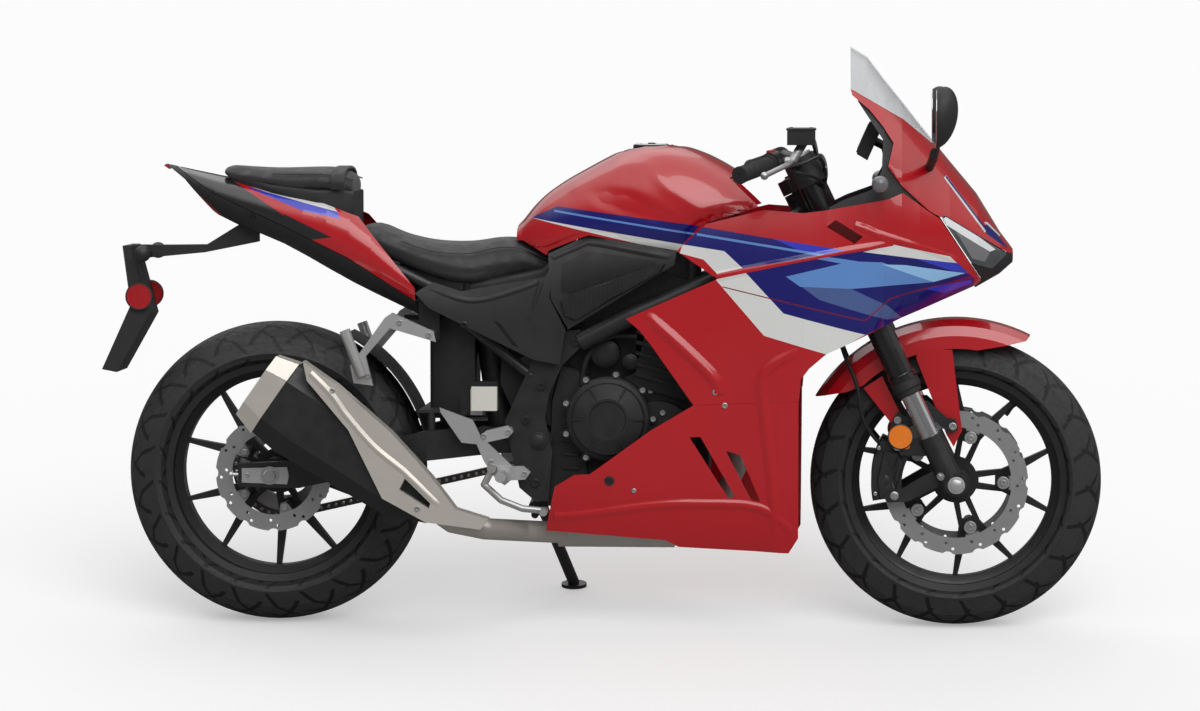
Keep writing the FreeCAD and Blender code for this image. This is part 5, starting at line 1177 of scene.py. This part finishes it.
def nearest(corners, x, z):
    """Distance from a place to a run of corners, all in (x, z) millimetres."""
    best = 1e9
    for a, b in zip(corners, corners[1:]):
        dx = b[0] - a[0]
        dz = b[1] - a[1]
        share = max(0.0, min(1.0, ((x - a[0]) * dx + (z - a[1]) * dz) / (dx * dx + dz * dz)))
        best = min(best, math.hypot(x - a[0] - dx * share, z - a[1] - dz * share))
    return best


def within(corners, x, z):
    odd = False
    for a, b in zip(corners, corners[1:] + corners[:1]):
        if (a[1] > z) != (b[1] > z) and x < a[0] + (z - a[1]) / (b[1] - a[1]) * (b[0] - a[0]):
            odd = not odd
    return odd


def skin_way(number):
    """Direction of one of the skin's spokes, from the left's lower edge over the top to the right's."""
    angle = math.radians(-22 + 224 * number / SKIN_SPOKES)
    return Vector((0, math.cos(angle), math.sin(angle)))


def tank_skin():
    """A smooth skin over the tank with the knee hollow and the crease above it."""
    tank = NODES["fuel_tank"]
    ridge = traced(140, TANK_TOP)
    hollow = traced(150, KNEE)
    reach = []
    axes = []
    for i in range(SKIN_STATIONS):
        x = TANK_BACK + (TANK_FRONT - TANK_BACK) * i / (SKIN_STATIONS - 1)
        axis = Vector((x, 0, 796 + 60 * min(1.0, (x - TANK_BACK) / 200)))
        row = []
        for j in range(SKIN_SPOKES + 1):
            out = skin_way(j)
            far = axis + out * 320
            found, at = tank.ray_cast(spot(*far), way(*-out))[:2]
            row.append((upright(at) - axis).length if found else None)
        reach.append(row)
        axes.append(axis)
    smooth = [list(row) for row in reach]
    for _ in range(SKIN_PASSES):
        old = [list(row) for row in smooth]
        for i in range(1, SKIN_STATIONS - 1):
            for j in range(1, SKIN_SPOKES):
                around = [old[i - 1][j], old[i + 1][j], old[i][j - 1], old[i][j + 1], old[i][j]]
                if None not in around and max(around) - min(around) < 25:
                    smooth[i][j] = sum(around) / 5
    verts = []
    index = {}
    for i in range(SKIN_STATIONS):
        for j in range(SKIN_SPOKES + 1):
            if smooth[i][j] is None:
                continue
            out = skin_way(j)
            place = axes[i] + out * smooth[i][j]
            from_edge = min(i, SKIN_STATIONS - 1 - i, j, SKIN_SPOKES - j)
            near_cap = math.hypot(place.x - CAP_X, place.y)
            rise = SKIN_RISE
            rise += RIDGE_RISE * math.exp(-(nearest(ridge, place.x, place.z) / 13) ** 2)
            deep = nearest(hollow + hollow[:1], place.x, place.z)
            if within(hollow, place.x, place.z):
                rise -= KNEE_DEPTH * min(1.0, deep / 16) ** 0.8
            rise *= min(1.0, max(0.0, (near_cap - 60) / 16)) if place.z > 950 else 1.0
            rise = min(rise, from_edge * 1.6) - 0.8
            index[(i, j)] = len(verts)
            verts.append(spot(*(place + out * rise)))
    bits = Bits()
    bits.verts = verts
    for i in range(SKIN_STATIONS - 1):
        for j in range(SKIN_SPOKES):
            corners = [(i, j), (i + 1, j), (i + 1, j + 1), (i, j + 1)]
            if all(corner in index for corner in corners):
                depths = [smooth[a][b] for a, b in corners]
                if max(depths) - min(depths) < 30:
                    bits.faces.append(tuple(index[corner] for corner in corners))
    bits.make("tank_skin", WEAR["fuel_tank"], "chassis")


def fuel_cap():
    ring = Bits()
    top = spot(CAP_X, 0, CAP_TOP - 3)
    up = way(0, 0, 1)
    ring.turned(
        [(36, -1), (36.5, 1), (34, 2.4), (27, 2.2), (26, 1), (12, 1.2), (11, 2), (0.2, 2.2)], top, up, 48,
    )
    ring.make("cap_face", alloy, "fuel_lid")
    key = Bits()
    key.turned([(8, 2), (8, 4), (6.5, 5), (0.2, 5)], top, up, 24)
    key.turned([(0.2, 5.1), (1.4, 5.1), (1.4, 5.5), (0.2, 5.5)], top, up, 4)
    key.make("cap_lock", deep_black, "fuel_lid")
    screw_ring = Bits()
    for i in range(6):
        x, y = around(CAP_X, 0, 31, math.pi / 3 * i + 0.3)
        screw_ring.cap_screw(spot(x, y, CAP_TOP - 1.4), up, 2.6, 1.6)
    screw_ring.make("cap_screws", steel, "fuel_lid")


GLASS_WIDE = 0.04
GLASS_HIGH = 0.055


def mirror_glasses():
    glass = Bits()
    for side in (1, -1):
        glass_at = spot(1363.2, side * 330, 1052)
        back = way(-1, 0, 0)
        across = way(0, 1, 0) * GLASS_WIDE
        up = way(0, 0, 1) * GLASS_HIGH
        rings = []
        for scale, rise in ((1.0, -0.4), (1.0, 0.7), (0.96, 1.1), (0.02, 1.1)):
            rings.append(circle(glass_at + back * (rise / 1000), across, up, scale, 40))
        glass.rings(rings)
    glass.make("mirror_glasses", mirror_glass, "chassis")


def dash_display():
    low = Vector((1204, 0, 975))
    high = Vector((1234, 0, 1043))
    along = (high - low).normalized()
    out = Vector((-along.z, 0, along.x))

    def plate(bits, levels):
        """Skins (start, end, left, right, rise) rectangles on the sloping face."""
        rings = []
        for start, end, left, right, rise in levels:
            ring = []
            for far, y in ((start, left), (start, right), (end, right), (end, left)):
                place = low + along * far + out * rise
                ring.append(spot(place.x, y, place.z))
            rings.append(ring)
        bits.rings(rings)

    face = Bits()
    rim = Bits()
    for bits, start, end, half, low_rise, high_rise in (
        (rim, 3, 71, 75, -0.5, 3), (face, 9, 65, 68, 2.0, 3.8),
    ):
        levels = ((0, low_rise), (0, high_rise - 0.6), (1.4, high_rise))
        plate(bits, [
            (start + inset, end - inset, inset - half, half - inset, rise) for inset, rise in levels
        ])
    rim.make("dash_rim", plastic)
    face.make("dash_glass", display)
    bars = Bits()
    for i in range(9):
        mid = -44 + i * 11
        plate(bars, [(22, 30 + i * 2.4, mid - 3, mid + 3, rise) for rise in (3.7, 4.0)])
    bars.make(
        "dash_bars", plain("display_marks", (0.55, 0.6, 0.6), 0.4), "chassis", smooth=False,
    )


def fasteners():
    flange = [
        (636, 524), (697, 536), (746, 524), (783, 488), (594, 482), (598, 417), (630, 354), (810, 446),
    ]
    round_cover = [around(699, 434, 92, math.radians(turn)) for turn in range(0, 360, 40)]
    screws("engine_screws", ["engine_covers", "engine"], flange + round_cover, steel, 6, 5, (-1,))
    left = [around(800, 392, 66, math.radians(turn)) for turn in range(20, 380, 60)]
    screws("dynamo_screws", ["engine_covers", "engine"], left, steel, 6, 5, (1,))
    frame_places = [(630, 590), (560, 500), (548, 300), (528, 430)]
    screws("frame_bolts", ["frame"], frame_places, satin, 9, 5)
    screws("guard_bolts", ["rider_pegs"], [(495, 408), (528, 322), (445, 399), (460, 345)], steel, 6, 4)
    body = traced(205, ((725.5, 405.6), (716, 392)))
    screws("fairing_screws", ["side_fairings", "belly_pans"], body, steel, 6, 2.4)
    low = traced(190, ((634, 492), (526.5, 522), (758, 510)))
    screws("belly_screws", ["belly_pans"], low, steel, 5, 2.4)
    black = traced(190, ((609, 482),))
    screws("belly_turns", ["belly_pans"], black, plastic, 10, 3)
    tail = traced(95, ((248.5, 214.5),))
    screws("tail_bolts", ["tail_cowl"], tail, deep_black, 7, 3)
    cover = traced(140, ((463, 324),))
    screws("cover_bolts", ["side_covers"], cover, deep_black, 7, 3)
    shield = [(322, 262), (150, 500), (400, 270)]
    screws("shield_bolts", ["muffler_shield", "muffler_can"], shield, steel, 6, 4, (-1,))
    screws("hanger_bolts", ["pillion_pegs"], [(270, 630), (330, 605), (205, 520)], steel, 6, 4)
    pivot = Bits()
    for side in (1, -1):
        pivot.hex_nut(spot(555, side * 127, 388), way(0, side, 0), 13, 6)
    pivot.make("pivot_nuts", cover_black, "chassis")


def side_lamps():
    """Rims of the round reflectors, behind and on the fork."""
    rims = Bits()
    rim = [(27.4, -6), (28.6, -4), (28.6, 0.4), (26, 0.8), (25.5, 0)]
    rims.paired(rim, -281, 69.2, 678, 36, capped=False)
    rims.make("reflector_rims", plastic)
    front = Bits()
    rim = [(25.2, -6), (26.4, -5), (26.4, 0.2), (24.4, 0.8), (24, 0.1)]
    front.paired(rim, 1296, 109, 398, 36, capped=False)
    front.make("front_reflector_rims", plastic, "steering")


bodywork_lines()
tank_skin()
fuel_cap()
mirror_glasses()
dash_display()
fasteners()
side_lamps()


# Engine bay pipes

def bay_pipes():
    """Coolant pipes and the throttle bodies' ducts between the engine and the frame."""
    pipes = Bits()
    runs = [
        [(905, -60, 690), (930, -80, 735), (975, -100, 720), (990, -110, 660)],
        [(860, -70, 455), (905, -88, 470), (960, -100, 478), (990, -105, 470)],
        [(640, -88, 500), (655, -92, 560), (700, -92, 600), (755, -88, 600)],
        [(640, 88, 500), (655, 92, 560), (700, 92, 600), (755, 88, 600)],
    ]
    for run in runs:
        pipes.tube(curve(run, 8), 11 if run[0][0] > 700 else 7, 12)
    pipes.make("coolant_pipes", plain("pipe_rubber", (0.02, 0.02, 0.02), 0.5), "chassis")
    ducts = Bits()
    for y in (42, -42):
        ducts.tube(curve([(790, y, 640), (745, y, 680), (715, y, 700)], 6), 24, 20)
    ducts.make("intake_ducts", cast, "chassis")
    clamps = Bits()
    for y in (42, -42):
        clamps.turned(
            [(24.5, -4), (25.6, -3), (25.6, 3), (24.5, 4)], spot(745, y, 678), way(-0.6, 0, 0.45), 28,
        )
    for run in runs[:2]:
        a, b = Vector(run[0]), Vector(run[1])
        clamps.turned(
            [(11, -3), (12.2, -2.6), (12.2, 2.6), (11, 3)], spot(*a.lerp(b, 0.3)), way(*(b - a)), 20,
        )
    clamps.make("pipe_clamps", steel, "chassis")


bay_pipes()


def box_run(bits, stations, corner=12):
    """A closed run of rounded boxes: (x, low, high, half width) stations in millimetres."""
    rings = []
    for x, low, high, half in stations:
        ring = []
        for cy, cz, start in ((half, high, 0), (-half, high, 90), (-half, low, 180), (half, low, 270)):
            y = cy - math.copysign(corner, cy)
            z = cz - corner if cz == high else cz + corner
            for step in range(4):
                angle = math.radians(start + 30 * step)
                ring.append(spot(x, y + corner * math.cos(angle), z + corner * math.sin(angle)))
        rings.append(ring)
    bits.rings(rings)


def bay_blocks():
    """Trays, inner guard, seat rails, air box and castings between the covers and the engine."""
    tray = Bits()
    seat_tray = [
        (262, 700, 756, 52), (270, 690, 752, 60), (340, 655, 728, 74), (410, 648, 712, 90),
        (470, 650, 722, 100), (560, 665, 742, 92), (612, 690, 790, 96),
    ]
    box_run(tray, seat_tray)
    box_run(tray, [(556, 720, 792, 46), (566, 716, 800, 54), (618, 716, 812, 62)])
    box_run(
        tray,
        [
            (-92, 915, 934, 44), (-84, 910, 934, 50), (0, 892, 912, 82), (90, 868, 902, 93),
            (150, 838, 902, 95), (170, 824, 897, 84),
        ],
        8,
    )
    box_run(tray, [(324, 438, 598, 50), (334, 432, 628, 58), (380, 428, 660, 62), (418, 428, 674, 62)], 10)
    box_run(tray, [(508, 566, 664, 46), (518, 554, 690, 56), (560, 542, 700, 58)], 10)
    tray.make("seat_trays", plastic)
    rails = Bits()
    for side in (1, -1):
        line = traced(104, ((346, 244), (388, 265), (430, 285.5), (470, 307), (506, 327)))
        rails.tube([spot(x, side * 104, z) for x, z in line], 11.5, 16)
    rails.make("seat_rail_tubes", satin, "chassis")
    box = Bits()
    box_run(
        box,
        [
            (600, 612, 700, 70), (612, 604, 750, 88), (700, 610, 770, 92), (820, 640, 790, 92),
            (868, 680, 790, 84),
        ],
        14,
    )
    box.make("air_box", plastic)
    ribs = Bits()
    for i in range(6):
        x = 640 + i * 34
        box_run(ribs, [(x, 618 + i * 5, 752 + i * 6, 94), (x + 6, 618 + i * 5, 752 + i * 6, 94)], 14)
    ribs.make("air_box_ribs", satin)
    back = Bits()
    for side in (1, -1):
        back.slab(
            [(572, 250), (640, 236), (660, 260), (640, 470), (640, 528), (600, 545), (578, 470)], side * 40,
            side * 92, 5,
        )
        back.slab(
            [(556, 420), (590, 405), (606, 470), (612, 560), (588, 590), (566, 540)], side * 30, side * 84,
            4,
        )
    for side in (1, -1):
        web = [(474, 560), (536, 606), (596, 580), (600, 430), (506, 424), (470, 500)]
        back.slab(web, side * 60, side * 66, 1)
        back.slab([(596, 520), (656, 520), (656, 606), (596, 606)], side * 60, side * 66, 1)
    box_run(back, [(636, 500, 640, 50), (648, 496, 652, 62), (752, 498, 644, 62), (766, 506, 630, 50)], 10)
    back.paired([(28, -60), (30, -56), (30, 26), (24, 30), (10, 31)], 690, 70, 566, 28)
    back.paired([(16, -40), (17, -38), (17, 24), (12, 27), (4, 28)], 742, 70, 548, 24)
    fins = Bits()
    for i in range(7):
        z = 300 + i * 28
        for side in (1, -1):
            fins.slab([(600, z), (636, z - 3), (636, z + 3), (600, z + 6)], side * 90, side * 97, 1)
    back.make("gear_casting", cast, "chassis")
    fins.make("casting_fins", cast, "chassis")
    shroud = Bits()
    slats = Bits()
    for side in (1, -1):
        outline = traced(118, ((650, 322), (668, 318), (722, 384), (718, 400), (700, 420), (672, 376)))
        shroud.slab(outline, side * 106, side * 122, 3)
        for i in range(5):
            px = 661 + i * 9.5
            py = 333 + i * 12.5
            bar = traced(124, ((px, py), (px + 15, py - 6), (px + 17, py - 3.5), (px + 2, py + 3)))
            slats.slab(bar, side * 118, side * 131, 1)
    shroud.make("radiator_shrouds", plastic)
    slats.make("shroud_slats", satin)


def bar_cables():
    """Control cables and brake pipe loops between the bars and the steering head."""
    lines = Bits()
    for side in (1, -1):
        runs = [
            [(1072, 212, 962), (1096, 180, 996), (1112, 130, 1004), (1122, 84, 960), (1120, 66, 900)],
            [(1064, 222, 950), (1102, 196, 960), (1130, 140, 968), (1140, 96, 930), (1130, 74, 880)],
            [(1080, 200, 940), (1118, 160, 930), (1136, 120, 912), (1132, 86, 872)],
        ]
        for run in runs:
            lines.tube(curve([(x, y * side, z) for x, y, z in run], 9), 3.4, 8)
    lines.make("bar_cables", satin, "steering")


def caliper_bodies():
    """Raised bodies and bleed nipples of the front calipers, and the fold of the muffler's shield."""
    body = Bits()
    nipples = Bits()
    for side in (1, -1):
        main = traced(95, (
            (885, 451), (899, 452), (905, 462), (900, 482), (893, 497), (881, 500), (878, 480),
        ))
        patch(body, ["front_calipers"], main, 5, side, edge=3, step=6)
        ends = traced(95, ((880, 448), (876.5, 494)))
        for at, normal in met(["front_calipers", "fork_feet"], ends, side):
            nipples.turned([(4, -1), (4, 5), (2.6, 6), (2.6, 11), (3.4, 12), (3.4, 14)], at, normal, 12)
    body.make("caliper_bodies", cover_black, "steering")
    nipples.make("bleed_nipples", steel, "steering")
    fold = Bits()
    line = traced(240, ((300, 362), (330, 392), (346, 414), (374, 446), (408, 474), (440, 506)))
    swage(fold, ["muffler_shield"], line, 18, 5, -1)
    fold.make("shield_fold", champagne, "chassis")


bay_blocks()
bar_cables()
caliper_bodies()


# Seats

RIDER_SEAT = [
    (172, [(0, 800), (36, 801), (62, 806), (72, 814), (62, 822), (36, 826), (0, 828)]),
    (215, [(0, 772), (50, 774), (88, 784), (100, 800), (88, 816), (50, 826), (0, 829)]),
    (270, [(0, 748), (58, 750), (100, 760), (114, 778), (102, 794), (60, 803), (0, 805)]),
    (340, [(0, 722), (64, 724), (112, 734), (128, 752), (114, 774), (66, 788), (0, 792)]),
    (410, [(0, 702), (62, 704), (108, 716), (124, 740), (110, 770), (64, 787), (0, 791)]),
    (470, [(0, 712), (58, 714), (102, 726), (118, 750), (106, 782), (60, 797), (0, 799)]),
    (520, [(0, 722), (52, 724), (94, 735), (110, 754), (100, 780), (56, 792), (0, 794)]),
    (560, [(0, 730), (44, 731), (80, 738), (94, 748), (84, 762), (46, 768), (0, 769)]),
    (588, [(0, 738), (34, 739), (58, 742), (68, 746), (58, 750), (34, 752), (0, 753)]),
]
PILLION_PAD = [
    (-110, [(0, 930), (30, 931), (52, 934), (60, 938), (52, 943), (30, 946), (0, 947)]),
    (0, [(0, 905), (48, 906), (84, 912), (96, 921), (84, 932), (48, 939), (0, 941)]),
    (120, [(0, 893), (56, 894), (98, 902), (112, 915), (98, 931), (56, 940), (0, 943)]),
    (168, [(0, 880), (46, 882), (78, 892), (88, 906), (78, 920), (46, 928), (0, 931)]),
]


def pad_rings(stations, inset):
    """Full sections of a pad, drawn in by a share of their size and smoothed along the length."""
    rings = []
    for x, half in stations:
        mid = (half[0][1] + half[-1][1]) / 2
        ring = [(y * (1 - inset), mid + (z - mid) * (1 - inset)) for y, z in half]
        ring += [(-y, z) for y, z in reversed(ring[1:-1])]
        rings.append([Vector((x, y, z)) for y, z in ring])
    runs = [smooth_run([ring[j] for ring in rings], 5) for j in range(len(rings[0]))]
    return [[run[i] for run in runs] for i in range(len(runs[0]))]


def swell(piece, voxel, cap):
    """Blows a closed mesh up a little as padded cloth, with its movement capped."""
    scene = bpy.context.scene
    bpy.context.view_layer.objects.active = piece
    remesh = piece.modifiers.new("remesh", "REMESH")
    remesh.mode = "VOXEL"
    remesh.voxel_size = voxel
    bpy.ops.object.modifier_apply(modifier="remesh")
    before = [v.co.copy() for v in piece.data.vertices]
    cloth = piece.modifiers.new("cloth", "CLOTH")
    cloth.settings.use_pressure = True
    cloth.settings.uniform_pressure_force = 4
    cloth.settings.effector_weights.gravity = 0
    cloth.settings.tension_stiffness = 25
    cloth.settings.bending_stiffness = 6
    cloth.point_cache.frame_start = 1
    cloth.point_cache.frame_end = 20
    for number in range(1, 21):
        scene.frame_set(number)
    shape = piece.evaluated_get(bpy.context.evaluated_depsgraph_get())
    after = [v.co.copy() for v in shape.data.vertices]
    piece.modifiers.remove(cloth)
    for vertex, old, new in zip(piece.data.vertices, before, after):
        move = new - old
        if move.length > cap:
            move = move.normalized() * cap
        vertex.co = old + move
    scene.frame_set(1)


def pad(name, node, stations, material):
    rings = pad_rings(stations, 0.05)
    bits = Bits()
    bits.rings([[spot(*p) for p in ring] for ring in rings])
    piece = bits.make(name, material, "chassis")
    world = piece.matrix_world.copy()
    piece.parent = None
    piece.matrix_world = world
    swell(piece, 0.005, 0.005)
    smooth = piece.modifiers.new("smooth", "SMOOTH")
    smooth.iterations = 3
    round_off = piece.modifiers.new("round", "SUBSURF")
    round_off.levels = round_off.render_levels = 1
    piece.data.shade_smooth()
    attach(piece, "chassis")
    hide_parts(node)
    return piece


def piping(name, stations, index, lift, material, side_out=0.4):
    """A sewn seam along the pad at one of its section's corners."""
    bits = Bits()
    for side in (1, -1):
        corners = []
        for x, half in stations[1:]:
            y, z = half[index]
            corners.append(Vector((x, side * (y + side_out), z + lift)))
        bits.tube(curve(corners, 6), 1.5, 8)
    bits.make(name, material, "chassis")


def add_seats():
    cover = seat_cloth("seat_cover", (0.045, 0.045, 0.047))
    pad("rider_seat", "seat_rider", RIDER_SEAT, cover)
    pad("pillion_seat", "seat_pillion", PILLION_PAD, cover)
    piping("rider_seams", RIDER_SEAT[1:], 4, 1.2, cover)
    piping("pillion_seams", PILLION_PAD, 4, 1.0, cover)
    strap = Bits()
    arc = [(0, 946), (56, 944), (98, 934), (113, 917), (104, 902)]
    points = [Vector((140, y, z)) for y, z in reversed(arc[1:])] + [Vector((140, -y, z)) for y, z in arc]
    line = smooth_run(points, 4)
    rings = []
    section = ((-14, -3), (-14, 1.2), (-11, 2.6), (11, 2.6), (14, 1.2), (14, -3))
    for place in line:
        out = Vector((0, place.y, (place.z - 915) * 2.2)).normalized()
        rings.append([spot(*(place + Vector((ahead, 0, 0)) + out * rise)) for ahead, rise in section])
    strap.rings(rings)
    strap.make("pillion_strap", seat_cloth("strap_cover", (0.03, 0.03, 0.031)), "chassis")


add_seats()


# Floor and light

FLOOR_HALF = 40
FLOOR_PALE = 0.8
FLOOR_MIRRORED = -0.62
FLOOR_GLOW = 0.32
FILL_LIGHT = 0.42


def add_floor():
    """A pale floor that is darker in reflections."""
    mesh = bpy.data.meshes.new("floor")
    half = FLOOR_HALF
    mesh.from_pydata(
        [(-half, -half, 0), (half, -half, 0), (half, half, 0), (-half, half, 0)], [], [(0, 1, 2, 3)],
    )
    floor = bpy.data.objects.new("floor", mesh)
    bpy.context.scene.collection.objects.link(floor)
    material = bpy.data.materials.new("floor")
    material.use_nodes = True
    tree = material.node_tree
    tree.nodes.clear()
    matte = tree.nodes.new("ShaderNodeBsdfDiffuse")
    glow = tree.nodes.new("ShaderNodeEmission")
    path = tree.nodes.new("ShaderNodeLightPath")
    seen_by = math_node(tree, "MAXIMUM", path.outputs["Is Camera Ray"], path.outputs["Is Transmission Ray"])
    link(tree, math_node(tree, "MULTIPLY", seen_by, FLOOR_GLOW), glow.inputs["Strength"])
    mirrored = math_node(tree, "MULTIPLY_ADD", path.outputs["Is Glossy Ray"], FLOOR_MIRRORED, FLOOR_PALE)
    link(tree, mirrored, matte.inputs["Color"])
    both = tree.nodes.new("ShaderNodeAddShader")
    out = tree.nodes.new("ShaderNodeOutputMaterial")
    link(tree, matte.outputs[0], both.inputs[0])
    link(tree, glow.outputs[0], both.inputs[1])
    link(tree, both.outputs[0], out.inputs["Surface"])
    mesh.materials.append(material)


def add_light():
    """White sky, brightest overhead for what shines, and three broad suns."""
    world = bpy.data.worlds.new("studio")
    bpy.context.scene.world = world
    world.use_nodes = True
    tree = world.node_tree
    back = tree.nodes["Background"]
    back.inputs["Color"].default_value = (1, 1, 1, 1)
    path = tree.nodes.new("ShaderNodeLightPath")
    direct = math_node(tree, "MAXIMUM", path.outputs["Is Camera Ray"], path.outputs["Is Transmission Ray"])
    place = tree.nodes.new("ShaderNodeTexCoord")
    split = tree.nodes.new("ShaderNodeSeparateXYZ")
    link(tree, place.outputs["Generated"], split.inputs[0])
    ceiling = tree.nodes.new("ShaderNodeMapRange")
    ceiling.interpolation_type = "SMOOTHSTEP"
    link(tree, split.outputs[2], ceiling.inputs[0])
    for socket, value in (("From Min", 0.35), ("From Max", 0.85), ("To Min", 0.1), ("To Max", 1.25)):
        ceiling.inputs[socket].default_value = value
    glossy = math_node(tree, "MULTIPLY", path.outputs["Is Glossy Ray"], ceiling.outputs[0])
    matte = math_node(tree, "SUBTRACT", 1.0, path.outputs["Is Glossy Ray"])
    dim = math_node(tree, "MULTIPLY", matte, FILL_LIGHT)
    base = math_node(tree, "MAXIMUM", direct, math_node(tree, "ADD", glossy, dim))
    link(tree, base, back.inputs["Strength"])
    for name, aim, strength, wide in (
        ("key", (-0.25, 0.62, -0.74), 1.15, 50), ("rim", (0.3, -0.75, -0.6), 0.5, 60),
        ("nose", (-0.9, -0.1, -0.4), 0.25, 60),
    ):
        lamp = bpy.data.lights.new(name, "SUN")
        lamp.energy = strength
        lamp.angle = math.radians(wide)
        light = bpy.data.objects.new(name, lamp)
        light.rotation_mode = "QUATERNION"
        light.rotation_quaternion = Vector(aim).to_track_quat("-Z", "Y")
        bpy.context.scene.collection.objects.link(light)


add_floor()
add_light()
bpy.context.scene.view_settings.view_transform = "Standard"
